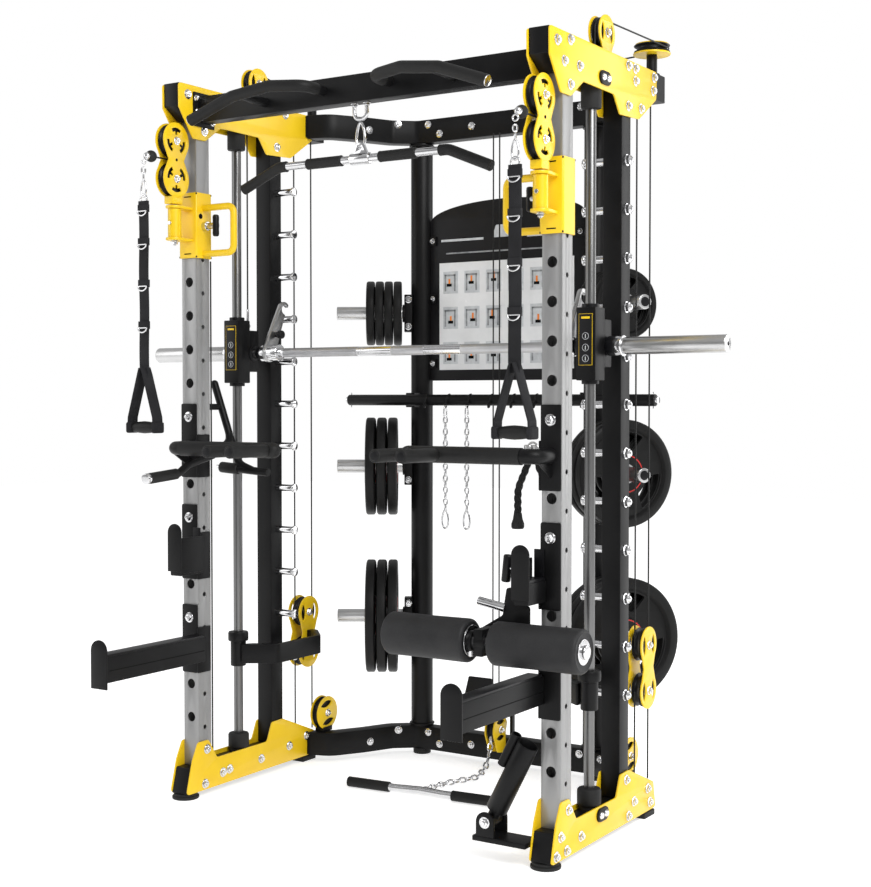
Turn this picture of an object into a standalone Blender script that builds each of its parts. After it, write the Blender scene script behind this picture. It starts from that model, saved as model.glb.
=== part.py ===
"""Smith machine with cable columns, plate storage and bolt-on attachments.

Metres, +Z up, floor at Z = 0.  The sizes below are in the machine's own frame, where Y = 0 is the
front face of the front uprights and +Y runs to the rear.  Every piece hangs from one empty,
which puts the middle of the machine's footprint at the world origin.
"""

import math

import bmesh
import bpy
from mathutils import Matrix, Vector

NAME = "smith_machine"
SIDES = (("left", -1.0), ("right", 1.0))
GAP = 0.0003                 # left between pieces that touch
RUN = 0.0005                 # radial running clearance

# frame
SIDE_X = 0.640               # centre plane of each side frame
TUBE = 0.060                 # square tube of the uprights and beams
WALL = 0.003
HALF = TUBE / 2
BASE_LOW, BASE_TOP = 0.017, 0.097
BEAM_LOW, BEAM_TOP = 2.140, 2.220
REAR_UPRIGHT_Y = 0.3625      # front face of the rear uprights
BASE_REAR_Y = 0.600
PLATE_T = 0.005              # gusset plates
INNER_PLATE_X = SIDE_X - HALF - PLATE_T - GAP
HOLE_Z, HOLE_PITCH, HOLE_COUNT, HOLE_R = 0.2506, 0.105, 15, 0.015

# catch pegs
PEG_Z, PEG_PITCH, PEG_COUNT = 0.395, 0.140, 12
PEG_Y, PEG_R, PEG_HEAD_R = 0.395, 0.0115, 0.015
PEG_TIP_X, PEG_HEAD_T = 0.532, 0.008

# guide rods and the smith bar
ROD_Y, ROD_R = 0.228, 0.015
BUMPER_TOP, BUMPER_LOW = 2.055, 0.160
BAR_Y, BAR_Z, BAR_R = 0.277, 1.400, 0.015
BAR_HALF, SLEEVE_X, SLEEVE_R = 1.025, 0.715, 0.0245
HOOK_X, HOOK_T = 0.549, 0.012
HOOK_LEAN = math.radians(17.5)   # hooks stand this far forward of the pegs

# cables and pulleys
CABLE_R = 0.0025
CABLE_Y = 0.100
SMITH_CABLE_X, SMITH_CABLE_Y = 0.630, 0.270
TOP_PULLEY_Y, TOP_PULLEY_Z = 0.312, 2.283
POST_Y, POST_TOP = 0.632, 2.284
LIFT_Y, LIFT_Z = 0.576, (0.377, 0.514)
SWIVEL_Y, SWIVEL_WHEEL_Y, SWIVEL_Z = -0.065, -0.074, (1.926, 2.042)
STRAP_Y = -0.200
CARRIAGE_LOW, CARRIAGE_TOP = 1.690, 1.893
POP_PIN_Z = 1.790

# rear frame and storage
COLUMN_X, COLUMN_Y, COLUMN_R = 0.338, 0.868, 0.038
HORN_ANGLE = math.radians(33.0)  # turned forward of sideways
HORN_REACH, HORN_R = 0.298, 0.023
STORE_BAR_Y, STORE_BAR_Z, STORE_BAR_R = 0.784, 1.2475, 0.019
STACKS = (                       # name, height, radius, plates, inner face, plate pitch, plate
    ("upper", 1.551, 0.112, 4, 0.071, 0.0315, 0.0275),
    ("middle", 1.015, 0.171, 3, 0.086, 0.0385, 0.0325),
    ("lower", 0.487, 0.1975, 3, 0.086, 0.0385, 0.0325),
)

# attachments
SPOTTER_FRONT = 0.440            # reach of the spotter arms in front of the uprights
ROLLER_Y, ROLLER_Z, ROLLER_R = -0.120, 0.606, 0.059
MINE_X, MINE_Y, MINE_Z = 0.480, -0.040, 0.108
MINE_LEAN = math.radians(27.3)
LAT_BAR_Z = 1.947

# the rear edge of the lowest plates is the rearmost point of the machine
REAR_REACH = (COLUMN_Y - STACKS[2][4] * math.sin(HORN_ANGLE)
              + STACKS[2][2] * math.cos(HORN_ANGLE))
MACHINE_Y = (SPOTTER_FRONT - REAR_REACH) / 2

COLOURS = {                      # colour, metallic, roughness
    "black_paint": ((0.014, 0.014, 0.015), 0.0, 0.42),
    "silver_paint": ((0.33, 0.33, 0.33), 0.6, 0.42),
    "yellow_paint": ((0.86, 0.56, 0.035), 0.0, 0.38),
    "chrome": ((0.72, 0.72, 0.72), 1.0, 0.12),
    "rubber": ((0.012, 0.012, 0.012), 0.0, 0.75),
    "foam": ((0.03, 0.03, 0.03), 0.0, 0.85),
    "webbing": ((0.018, 0.018, 0.02), 0.0, 0.9),
    "sign_black": ((0.012, 0.012, 0.013), 0.0, 0.5),
}


# ---------------------------------------------------------------- scene helpers

def clear_scene():
    for obj in list(bpy.data.objects):
        bpy.data.objects.remove(obj, do_unlink=True)


def material(name):
    found = bpy.data.materials.get(name)
    if found:
        return found
    colour, metallic, roughness = COLOURS[name]
    found = bpy.data.materials.new(name)
    found.use_nodes = True
    shader = found.node_tree.nodes["Principled BSDF"]
    shader.inputs["Base Color"].default_value = (*colour, 1.0)
    shader.inputs["Metallic"].default_value = metallic
    shader.inputs["Roughness"].default_value = roughness
    return found


def new_object(mesh):
    obj = bpy.data.objects.new("piece", mesh)
    bpy.context.scene.collection.objects.link(obj)
    return obj


def from_bmesh(bm):
    mesh = bpy.data.meshes.new("piece")
    bm.to_mesh(mesh)
    bm.free()
    return new_object(mesh)


def as_mesh(obj):
    """Replace an object by the mesh that the viewport shows, with its caps welded."""
    graph = bpy.context.evaluated_depsgraph_get()
    mesh = bpy.data.meshes.new_from_object(obj.evaluated_get(graph))
    mesh.transform(obj.matrix_world)
    bpy.data.objects.remove(obj, do_unlink=True)
    bm = bmesh.new()
    bm.from_mesh(mesh)
    bmesh.ops.remove_doubles(bm, verts=bm.verts, dist=1e-6)
    bmesh.ops.recalc_face_normals(bm, faces=bm.faces)
    bm.to_mesh(mesh)
    bm.free()
    return new_object(mesh)


def finish(obj, name, finish_name, origin=(0.0, 0.0, 0.0)):
    """Name a piece, move its origin, give it its material and hang it from the machine."""
    obj.name = name
    obj.data.name = name
    start = Vector(origin)
    obj.data.transform(Matrix.Translation(-start))
    obj.location = start
    obj.data.materials.clear()
    obj.data.materials.append(material(finish_name))
    for polygon in obj.data.polygons:
        polygon.material_index = 0
        polygon.use_smooth = True
    obj.data.set_sharp_from_angle(angle=math.radians(40.0))
    for collection in list(obj.users_collection):
        collection.objects.unlink(obj)
    bpy.data.collections[NAME].objects.link(obj)
    obj.parent = bpy.data.objects["machine_origin"]
    return obj


# ---------------------------------------------------------------- shapes

def box(x, y, z):
    bm = bmesh.new()
    size = Vector((abs(x[1] - x[0]), abs(y[1] - y[0]), abs(z[1] - z[0])))
    middle = Vector(((x[0] + x[1]) / 2, (y[0] + y[1]) / 2, (z[0] + z[1]) / 2))
    bmesh.ops.create_cube(bm, size=1.0)
    bmesh.ops.scale(bm, vec=size, verts=bm.verts)
    bmesh.ops.translate(bm, vec=middle, verts=bm.verts)
    return from_bmesh(bm)


def rod(start, end, radius, sides=12):
    start, end = Vector(start), Vector(end)
    way = end - start
    bm = bmesh.new()
    turn = way.to_track_quat("Z", "Y").to_matrix().to_4x4()
    bmesh.ops.create_cone(bm, cap_ends=True, segments=sides, radius1=radius, radius2=radius,
                          depth=way.length, matrix=Matrix.Translation((start + end) / 2) @ turn)
    return from_bmesh(bm)


def ball(centre, radius):
    bm = bmesh.new()
    bmesh.ops.create_uvsphere(bm, u_segments=10, v_segments=6, radius=radius,
                              matrix=Matrix.Translation(centre))
    return from_bmesh(bm)


def outline(points, normal, low, high):
    """A flat outline with straight sides, extruded from low to high along X, Y or Z."""
    curve = bpy.data.curves.new("outline", "CURVE")
    curve.dimensions = "2D"
    curve.fill_mode = "BOTH"
    curve.extrude = abs(high - low) / 2
    spline = curve.splines.new("POLY")
    spline.points.add(len(points) - 1)
    for point, (u, v) in zip(spline.points, points):
        point.co = (u, v, 0.0, 1.0)
    spline.use_cyclic_u = True
    obj = new_object(curve)
    middle = (low + high) / 2
    if normal == "X":            # u is Y, v is Z
        frame = Matrix(((0, 0, 1, middle), (1, 0, 0, 0), (0, 1, 0, 0), (0, 0, 0, 1)))
    elif normal == "Y":          # u is X, v is Z
        frame = Matrix(((1, 0, 0, 0), (0, 0, -1, middle), (0, 1, 0, 0), (0, 0, 0, 1)))
    else:                        # u is X, v is Y
        frame = Matrix.Translation((0, 0, middle))
    obj.matrix_world = frame
    bpy.context.view_layer.update()
    return as_mesh(obj)


def rounded(points, radius, steps=3):
    """Round the inner corners of a route of straight runs."""
    points = [Vector(point) for point in points]
    route = [points[0]]
    for before, corner, after in zip(points, points[1:], points[2:]):
        back, on = (before - corner).normalized(), (after - corner).normalized()
        half = back.angle(on) / 2
        if half > math.radians(88.0):
            route.append(corner)
            continue
        reach = min(radius / math.tan(half), 0.48 * (before - corner).length,
                    0.48 * (after - corner).length)
        start, end = corner + back * reach, corner + on * reach
        for step in range(steps + 1):
            t = step / steps
            route.append(start * (1 - t) ** 2 + corner * 2 * t * (1 - t) + end * t ** 2)
    route.append(points[-1])
    return route


def tube(points, radius, resolution=2):
    curve = bpy.data.curves.new("tube", "CURVE")
    curve.dimensions = "3D"
    curve.bevel_depth = radius
    curve.bevel_resolution = resolution
    curve.use_fill_caps = True
    spline = curve.splines.new("POLY")
    spline.points.add(len(points) - 1)
    for target, point in zip(spline.points, points):
        target.co = (*point, 1.0)
    return as_mesh(new_object(curve))


def turned(profile, steps, centre, axis):
    """Turn a closed profile of (radius, height) about an axis through centre."""
    mesh = bpy.data.meshes.new("profile")
    count = len(profile)
    mesh.from_pydata([(r, 0.0, h) for r, h in profile],
                     [(i, (i + 1) % count) for i in range(count)], [])
    obj = new_object(mesh)
    screw = obj.modifiers.new("Turn", "SCREW")
    screw.steps = screw.render_steps = steps
    screw.use_merge_vertices = True
    screw.merge_threshold = 1e-5
    turn = Vector(axis).to_track_quat("Z", "Y").to_matrix().to_4x4()
    obj.matrix_world = Matrix.Translation(centre) @ turn
    bpy.context.view_layer.update()
    return as_mesh(obj)


def boolean(body, tool, operation):
    change = body.modifiers.new(operation, "BOOLEAN")
    change.operation = operation
    change.solver = "EXACT"
    change.object = tool
    graph = bpy.context.evaluated_depsgraph_get()
    mesh = bpy.data.meshes.new_from_object(body.evaluated_get(graph))
    body.modifiers.clear()
    body.data = mesh
    bpy.data.objects.remove(tool, do_unlink=True)
    return body


def together(solids):
    """Put solids that stay apart into one object, to join or cut with in one go."""
    bm = bmesh.new()
    for solid in solids:
        bm.from_mesh(solid.data)
        bpy.data.objects.remove(solid, do_unlink=True)
    return from_bmesh(bm)


def fuse(first, *others):
    for other in others:
        first = boolean(first, other, "UNION")
    return first


def cut(body, *tools):
    for tool in tools:
        body = boolean(body, tool, "DIFFERENCE")
    return body


def across(side, inner, outer):
    """X limits on one side of the machine, in rising order."""
    return tuple(sorted((side * inner, side * outer)))


def circle(centre, radius, start, end, count):
    """Points on an arc, from start to end in degrees."""
    points = []
    for step in range(count):
        angle = math.radians(start + (end - start) * step / (count - 1))
        points.append((centre[0] + radius * math.cos(angle), centre[1] + radius * math.sin(angle)))
    return points


# ---------------------------------------------------------------- frame

BOTTOM_GUSSET = ((-0.061, 0.0175), (-0.034, 0.121), (-0.008, 0.174), (0.041, 0.174),
                 (0.082, 0.110), (0.186, 0.110), (0.268, 0.110), (0.333, 0.110),
                 (0.359, 0.170), (0.416, 0.172), (0.589, 0.101), (0.605, 0.0205))
TOP_GUSSET = ((-0.081, 2.2195), (-0.080, 2.145), (-0.017, 2.056), (0.040, 2.056),
              (0.113, 2.107), (0.232, 2.107), (0.301, 2.106), (0.341, 2.056),
              (0.468, 2.062), (0.587, 2.138), (0.591, 2.2195))


def front_upright(label, side):
    x = side * SIDE_X
    ends = (BASE_TOP + GAP, BEAM_LOW - GAP)
    body = box((x - HALF, x + HALF), (0.0, TUBE), ends)
    body = cut(body, box((x - HALF + WALL, x + HALF - WALL), (WALL, TUBE - WALL), (0.0, 2.3)))
    holes = [rod((x, -0.01, HOLE_Z + HOLE_PITCH * i), (x, 0.01, HOLE_Z + HOLE_PITCH * i),
                 HOLE_R, 8) for i in range(HOLE_COUNT)]
    finish(cut(body, together(holes)), "front_upright_" + label, "silver_paint")


def rear_upright(label, side):
    """Rear tube with the catch pegs that the bar hooks on to."""
    x = side * SIDE_X
    rear = (REAR_UPRIGHT_Y, REAR_UPRIGHT_Y + TUBE)
    body = box((x - HALF, x + HALF), rear, (BASE_TOP + GAP, BEAM_LOW - GAP))
    body = cut(body, box((x - HALF + WALL, x + HALF - WALL),
                         (rear[0] + WALL, rear[1] - WALL), (0.0, 2.3)))
    heights = [PEG_Z + PEG_PITCH * i for i in range(PEG_COUNT)]
    root = side * (SIDE_X - HALF + WALL / 2)
    neck, tip = side * (PEG_TIP_X + PEG_HEAD_T), side * PEG_TIP_X
    shafts = [rod((root, PEG_Y, z), (neck - side * 0.001, PEG_Y, z), PEG_R, 8) for z in heights]
    heads = [rod((neck, PEG_Y, z), (tip, PEG_Y, z), PEG_HEAD_R, 8) for z in heights]
    finish(fuse(body, together(shafts), together(heads)), "rear_upright_" + label, "black_paint")


def gusset(label, side, level, points):
    low = SIDE_X + HALF + GAP
    plate = outline(points, "X", *across(side, low, low + PLATE_T))
    finish(plate, level + "_gusset_" + label, "yellow_paint")


def inner_gusset(side, points, strip):
    """The inner plate of a pair, with the strip that joins it to its beam."""
    plate = outline(points, "X", *across(side, INNER_PLATE_X, SIDE_X - HALF - GAP))
    weld = box(across(side, INNER_PLATE_X + 0.002, SIDE_X - HALF + 0.001), (0.01, 0.55), strip)
    return fuse(plate, weld)


def base_beam(label, side):
    """Foot tube with rubber pads, its inner gusset and, on the right, the landmine foot."""
    x = side * SIDE_X
    profile = ((-0.0585, BASE_LOW), (-0.0375, BASE_TOP), (BASE_REAR_Y, BASE_TOP),
               (BASE_REAR_Y, BASE_LOW))
    body = outline(profile, "X", *across(side, SIDE_X - HALF, SIDE_X + HALF))
    inside = box((x - HALF + WALL, x + HALF - WALL), (0.0, 0.7),
                 (BASE_LOW + WALL, BASE_TOP - WALL))
    holes = [rod((x, y, BASE_TOP - 0.02), (x, y, BASE_TOP + 0.02), 0.006, 8)
             for y in (CABLE_Y, LIFT_Y - 0.0445)]
    body = cut(body, inside, together(holes))
    body = fuse(body, inner_gusset(side, BOTTOM_GUSSET, (0.030, 0.090)))
    front = box((x - 0.042, x + 0.042), (-0.078, 0.035), (0.0, BASE_LOW + 0.0002))
    rear = box((x - 0.036, x + 0.036), (0.525, 0.598), (0.0, BASE_LOW + 0.0002))
    body = fuse(body, front, rear)
    if side > 0:
        body = fuse(body, *landmine_foot())
    finish(body, "base_beam_" + label, "black_paint")


def landmine_foot():
    """Flat bar with two ears and the bolt that the landmine socket turns on."""
    bar = box((0.440, INNER_PLATE_X + 0.001), (MINE_Y - 0.045, MINE_Y + 0.045), (0.052, 0.070))
    radius = 0.028
    ear = [(MINE_X + radius, 0.069)] + circle((MINE_X, MINE_Z), radius, 0, 180, 7)
    ear.append((MINE_X - radius, 0.069))
    ears = [outline(ear, "Y", MINE_Y + y, MINE_Y + y + 0.006) for y in (-0.0385, 0.0325)]
    bolt = rod((MINE_X, MINE_Y - 0.042, MINE_Z), (MINE_X, MINE_Y + 0.042, MINE_Z), 0.006, 8)
    return bar, together(ears), bolt


def top_beam(label, side):
    """Top tube, its inner gusset, the pulley bracket above it and the post at its rear end."""
    x = side * SIDE_X
    profile = ((-0.0775, BEAM_TOP), (-0.0765, 2.150), (-0.018, 2.112), (-GAP, 2.112),
               (-GAP, BEAM_LOW), (0.660, BEAM_LOW), (0.660, BEAM_TOP))
    body = outline(profile, "X", *across(side, SIDE_X - HALF, SIDE_X + HALF))
    inside = box((x - HALF + WALL, x + HALF - WALL), (0.0, 0.7),
                 (BEAM_LOW + WALL, BEAM_TOP - WALL))
    cable = (side * SMITH_CABLE_X, SMITH_CABLE_Y)
    hole = rod((*cable, 2.1), (*cable, 2.3), 0.006, 8)
    body = cut(body, inside, hole)
    body = fuse(body, inner_gusset(side, TOP_GUSSET, (2.150, 2.210)))
    middle = side * SMITH_CABLE_X
    post = rod((x, POST_Y, BEAM_TOP - 0.001), (x, POST_Y, POST_TOP), 0.017, 10)
    disc = rod((x, POST_Y, POST_TOP - 0.001), (x, POST_Y, POST_TOP + 0.004), 0.056, 14)
    hub = rod((x, POST_Y, POST_TOP + 0.003), (x, POST_Y, POST_TOP + 0.028), 0.012, 10)
    wheel = pulley_wheel((x, POST_Y, POST_TOP + 0.017), (0, 0, 1), 0.054, 0.011)
    body = fuse(body, post, disc, hub, wheel)
    link = [(TOP_PULLEY_Y - 0.020, BEAM_TOP - 0.001), (TOP_PULLEY_Y + 0.020, BEAM_TOP - 0.001)]
    link += circle((TOP_PULLEY_Y, TOP_PULLEY_Z), 0.050, -40, 220, 11)
    plates = [outline(link, "X", *across(side, SMITH_CABLE_X + a, SMITH_CABLE_X + a + 0.004))
              for a in (-0.018, 0.014)]
    axle = rod((middle - 0.017, TOP_PULLEY_Y, TOP_PULLEY_Z),
               (middle + 0.017, TOP_PULLEY_Y, TOP_PULLEY_Z), 0.012, 10)
    wheel = pulley_wheel((middle, TOP_PULLEY_Y, TOP_PULLEY_Z), (1, 0, 0), 0.046, 0.011)
    body = fuse(body, together(plates), axle, wheel)
    finish(body, "top_beam_" + label, "black_paint")


def pulley_wheel(centre, axis, radius, bore):
    """Grooved wheel, 22 mm wide."""
    half, groove = 0.011, radius - 0.009
    profile = ((bore, half), (radius, half), (radius, half - 0.003), (groove, 0.0035),
               (groove, -0.0035), (radius, -half + 0.003), (radius, -half), (bore, -half))
    return turned(profile, 16, centre, axis)


def guide_rod(label, side):
    """Round rod with the rubber bumpers at its two ends."""
    x = side * SIDE_X
    body = rod((x, ROD_Y, BASE_TOP + GAP), (x, ROD_Y, BEAM_LOW - GAP), ROD_R, 14)
    top = rod((x, ROD_Y, BUMPER_TOP), (x, ROD_Y, BEAM_LOW - 2 * GAP), 0.029, 12)
    foot = rod((x, ROD_Y, BASE_TOP + 2 * GAP), (x, ROD_Y, 0.115), 0.029, 12)
    low = rod((x, ROD_Y, 0.1105), (x, ROD_Y, BUMPER_LOW), 0.034, 12)
    finish(fuse(body, top, foot, low), "guide_rod_" + label, "chrome")


def crossmember(name, low, high, pads):
    """Rear tie, bent in plan from the side frames back to the columns."""
    half = 0.025
    path = ((0.6042, 0.578), (0.540, 0.600), (0.478, 0.700), (0.428, 0.806), (0.350, COLUMN_Y))
    front, back = [], []
    for i, (x, y) in enumerate(path):
        before, after = path[max(i - 1, 0)], path[min(i + 1, len(path) - 1)]
        run = Vector((after[0] - before[0], after[1] - before[1])).normalized()
        if i == 0:
            run = Vector((-1.0, 0.0))
        front.append((x - run.y * half, y + run.x * half))
        back.append((x + run.y * half, y - run.x * half))
    right = front + [(0.30, COLUMN_Y - half)]
    back.append((0.30, COLUMN_Y + half))
    points = right + [(-x, y) for x, y in reversed(right)]
    points += [(-x, y) for x, y in back] + list(reversed(back))
    body = outline(points, "Z", low, high)
    if pads:
        feet = [rod((s * COLUMN_X, COLUMN_Y, 0.0), (s * COLUMN_X, COLUMN_Y, low + 0.001), 0.032, 12)
                for _, s in SIDES]
        body = fuse(body, together(feet))
    finish(body, name, "black_paint")


def horn_way(side):
    return Vector((side * math.cos(HORN_ANGLE), -math.sin(HORN_ANGLE), 0.0))


def rear_column(label, side):
    """Round rear column with three plate horns."""
    x = side * COLUMN_X
    body = rod((x, COLUMN_Y, 0.1003), (x, COLUMN_Y, BEAM_LOW - GAP), COLUMN_R, 16)
    body = cut(body, rod((x, COLUMN_Y, 0.0), (x, COLUMN_Y, 2.3), COLUMN_R - WALL, 16))
    way = horn_way(side)
    for _, height, _, _, _, _, _ in STACKS:
        start = Vector((x, COLUMN_Y, height))
        horn = rod(start + way * (COLUMN_R - 0.0025), start + way * HORN_REACH, HORN_R, 12)
        block = box((0.033, 0.062), (-0.026, 0.026), (-0.065, 0.065))
        turn = Matrix.Rotation(math.atan2(way.y, way.x), 4, "Z")
        block.data.transform(Matrix.Translation(start) @ turn)
        body = fuse(body, block, horn)
    finish(body, "rear_column_" + label, "black_paint")


def plate_stack(label, side, spec):
    """Weight plates of one horn, as one turned solid with the slits between the plates."""
    name, height, radius, count, inner, pitch, thick = spec
    profile = [(HORN_R + 0.0025, inner)]
    for i in range(count):
        face = inner + pitch * i
        profile += [(radius, face), (radius, face + thick)]
        if i < count - 1:
            profile += [(0.050, face + thick), (0.050, face + pitch)]
    profile.append((HORN_R + 0.0025, inner + pitch * (count - 1) + thick))
    centre = (side * COLUMN_X, COLUMN_Y, height)
    body = turned(profile, 20, centre, horn_way(side))
    finish(body, name + "_plates_" + label, "rubber", centre)


def sign_panel():
    edge, foot, shoulder, crown = COLUMN_X - COLUMN_R - 0.001, 1.315, 1.865, 0.065
    points = [(-edge, foot), (edge, foot)]
    points += [(edge * math.cos(math.radians(a)), shoulder + crown * math.sin(math.radians(a)))
               for a in range(0, 181, 20)]
    body = outline(points, "Y", COLUMN_Y - 0.006, COLUMN_Y + 0.006)
    finish(body, "sign_panel", "sign_black")


def storage_bar():
    body = rod((-0.600, STORE_BAR_Y, STORE_BAR_Z), (0.600, STORE_BAR_Y, STORE_BAR_Z),
               STORE_BAR_R, 12)
    arms = [box((s * COLUMN_X - 0.018, s * COLUMN_X + 0.018),
                (STORE_BAR_Y + 0.010, COLUMN_Y - COLUMN_R - GAP),
                (STORE_BAR_Z - 0.025, STORE_BAR_Z + 0.025)) for _, s in SIDES]
    finish(fuse(body, together(arms)), "storage_bar", "black_paint")


def pull_up_bar():
    """Front crossbar with two bent handles, end flanges and the hanging loop under it."""
    end = INNER_PLATE_X - GAP
    low, high = 2.107, 2.187
    body = box((-end, end), (0.0, 0.050), (low, high))
    body = cut(body, box((-1.0, 1.0), (WALL, 0.050 - WALL), (low + WALL, high - WALL)))
    flanges = [box(across(s, end - 0.006, end), (-0.020, 0.075), (2.095, 2.200))
               for _, s in SIDES]
    flanges = together(flanges)
    flanges = cut(flanges, box((-1.0, 1.0), (WALL, 0.050 - WALL), (low + WALL, high - WALL)))
    body = fuse(body, flanges)
    for _, s in SIDES:
        grip = ((s * 0.118, 0.002, 2.150), (s * 0.118, -0.085, 2.152), (s * 0.230, -0.110, 2.158),
                (s * 0.360, -0.122, 2.140), (s * 0.516, -0.129, 2.084))
        brace = ((s * 0.335, 0.002, 2.140), (s * 0.335, -0.060, 2.142), (s * 0.330, -0.116, 2.144))
        body = fuse(body, tube(rounded(grip, 0.045), 0.017), tube(brace, 0.014))
    loop = rounded(((-0.022, 0.025, low + 0.002), (-0.022, 0.025, 2.061), (0.022, 0.025, 2.061),
                    (0.022, 0.025, low + 0.002)), 0.02)
    finish(fuse(body, tube(loop, 0.006)), "pull_up_bar", "black_paint")


# ---------------------------------------------------------------- smith bar

def smith_carriage(label, side):
    """Block that runs on the guide rod and carries one end of the bar."""
    x = side * SIDE_X
    body = box((x - HALF, x + HALF), (ROD_Y - HALF, ROD_Y + HALF), (1.293, 1.516))
    hub = box((x - HALF, x + HALF), (ROD_Y, 0.305), (1.336, 1.479))
    body = fuse(body, hub)
    body = cut(body, rod((x, ROD_Y, 1.0), (x, ROD_Y, 2.0), ROD_R + RUN, 14),
               rod((x - 0.1, BAR_Y, BAR_Z), (x + 0.1, BAR_Y, BAR_Z), BAR_R + RUN, 14))
    finish(body, "smith_carriage_" + label, "black_paint", (x, ROD_Y, BAR_Z))


def catch_hook(side):
    """Plate arm with a round notch that swings back over a peg."""
    peg = Vector((PEG_Y - BAR_Y, PEG_Z + 8 * PEG_PITCH - BAR_Z))
    reach, angle = peg.length, math.degrees(math.atan2(peg.y, peg.x)) + math.degrees(HOOK_LEAN)
    tip = (BAR_Y + reach * math.cos(math.radians(angle)),
           BAR_Z + reach * math.sin(math.radians(angle)))
    points = circle((BAR_Y, BAR_Z), 0.029, angle + 100, angle + 260, 7)
    points += circle(tip, 0.0255, angle - 80, angle + 80, 7)
    plate = outline(points, "X", *across(side, HOOK_X - HOOK_T / 2, HOOK_X + HOOK_T / 2))
    notch_r = PEG_R + 0.003
    slot = circle(tip, notch_r, angle, angle + 180, 7)
    back = math.radians(angle - 90)
    ends = [(slot[-1][0] + 0.05 * math.cos(back), slot[-1][1] + 0.05 * math.sin(back)),
            (slot[0][0] + 0.05 * math.cos(back), slot[0][1] + 0.05 * math.sin(back))]
    return cut(plate, outline(slot + ends, "X", *across(side, HOOK_X - 0.02, HOOK_X + 0.02)))


def smith_bar():
    body = rod((-BAR_HALF, BAR_Y, BAR_Z), (BAR_HALF, BAR_Y, BAR_Z), BAR_R, 14)
    for _, s in SIDES:
        sleeve = rod((s * SLEEVE_X, BAR_Y, BAR_Z), (s * (BAR_HALF + GAP), BAR_Y, BAR_Z),
                     SLEEVE_R, 14)
        collar = rod((s * 0.698, BAR_Y, BAR_Z), (s * 0.722, BAR_Y, BAR_Z), 0.030, 14)
        hub = rod((s * 0.500, BAR_Y, BAR_Z), (s * 0.570, BAR_Y, BAR_Z), 0.0272, 12)
        body = fuse(body, sleeve, collar, hub, catch_hook(s))
    finish(body, "smith_bar", "chrome", (0.0, BAR_Y, BAR_Z))


def lift_carriage(label, side):
    """Sleeve on the guide rod, an arm that goes round the pegs, and two floating pulleys."""
    x = side * SIDE_X
    body = box((x - 0.029, x + 0.029), (ROD_Y - 0.029, ROD_Y + 0.029), (0.379, 0.457))
    body = fuse(body, rod((x, ROD_Y, 0.455), (x, ROD_Y, 0.490), 0.042, 12))
    arm = ((0.613, 0.232), (0.600, 0.252), (0.527, 0.290), (0.527, 0.490), (0.596, 0.560),
           (0.616, 0.560), (0.616, 0.592), (0.590, 0.592), (0.511, 0.505), (0.511, 0.275),
           (0.590, 0.222), (0.613, 0.205))
    arm = outline([(side * a, b) for a, b in arm], "Z", 0.400, 0.452)
    body = fuse(body, arm)
    body = cut(body, rod((x, ROD_Y, 0.0), (x, ROD_Y, 1.0), ROD_R + RUN, 14))
    plates = [outline(figure_eight(LIFT_Y, LIFT_Z, 0.055), "X",
                      *across(side, SIDE_X + a, SIDE_X + a + 0.004)) for a in (-0.0245, 0.0205)]
    body = fuse(body, together(plates))
    for z in LIFT_Z:
        pin = rod((x - 0.022, LIFT_Y, z), (x + 0.022, LIFT_Y, z), 0.012, 10)
        body = fuse(body, pin, pulley_wheel((x, LIFT_Y, z), (1, 0, 0), 0.050, 0.011))
    finish(body, "lift_carriage_" + label, "black_paint", (x, ROD_Y, 0.42))


def figure_eight(y, heights, radius):
    """Outline of two discs joined by a waist, in the YZ plane."""
    low, high = heights
    points = circle((y, low), radius, 150, 390, 9)
    points.append((y + radius * 0.62, (low + high) / 2))
    points += circle((y, high), radius, -30, 210, 9)
    points.append((y - radius * 0.62, (low + high) / 2))
    return points


# ---------------------------------------------------------------- cable columns

def pulley_carriage(label, side):
    """Sleeve on the front upright with a D handle and the barrel that the pulleys swivel in."""
    x = side * SIDE_X
    outer, inner = 0.036, 0.031
    body = box((x - outer, x + outer), (HALF - outer, HALF + outer),
               (CARRIAGE_LOW, CARRIAGE_TOP))
    for z in (1.740, 1.838):
        body = fuse(body, box((x - 0.020, x + 0.020), (SWIVEL_Y, HALF - outer + 0.001),
                              (z, z + 0.008)))
        body = fuse(body, rod((x, SWIVEL_Y, z), (x, SWIVEL_Y, z + 0.008), 0.027, 12))
    body = fuse(body, rod((x, SWIVEL_Y, 1.741), (x, SWIVEL_Y, 1.845), 0.020, 12))
    root, reach = side * (SIDE_X - outer + 0.002), side * 0.484
    handle = rounded(((root, HALF, 1.847), (reach, HALF, 1.847), (reach, HALF, 1.704),
                      (root, HALF, 1.704)), 0.026, 4)
    boss = rod((side * 0.588, HALF, POP_PIN_Z), (root, HALF, POP_PIN_Z), 0.014, 10)
    body = cut(body, box((x - inner, x + inner), (HALF - inner, HALF + inner), (1.0, 2.1)),
               rod((x, SWIVEL_Y, 1.7), (x, SWIVEL_Y, 1.9), 0.0085, 10))
    body = cut(fuse(body, boss), rod((side * 0.5, HALF, POP_PIN_Z), (x, HALF, POP_PIN_Z),
                                     0.0065, 8))
    body = fuse(body, tube(handle, 0.0105))
    finish(body, "pulley_carriage_" + label, "yellow_paint", (x, HALF, 1.790))


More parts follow.
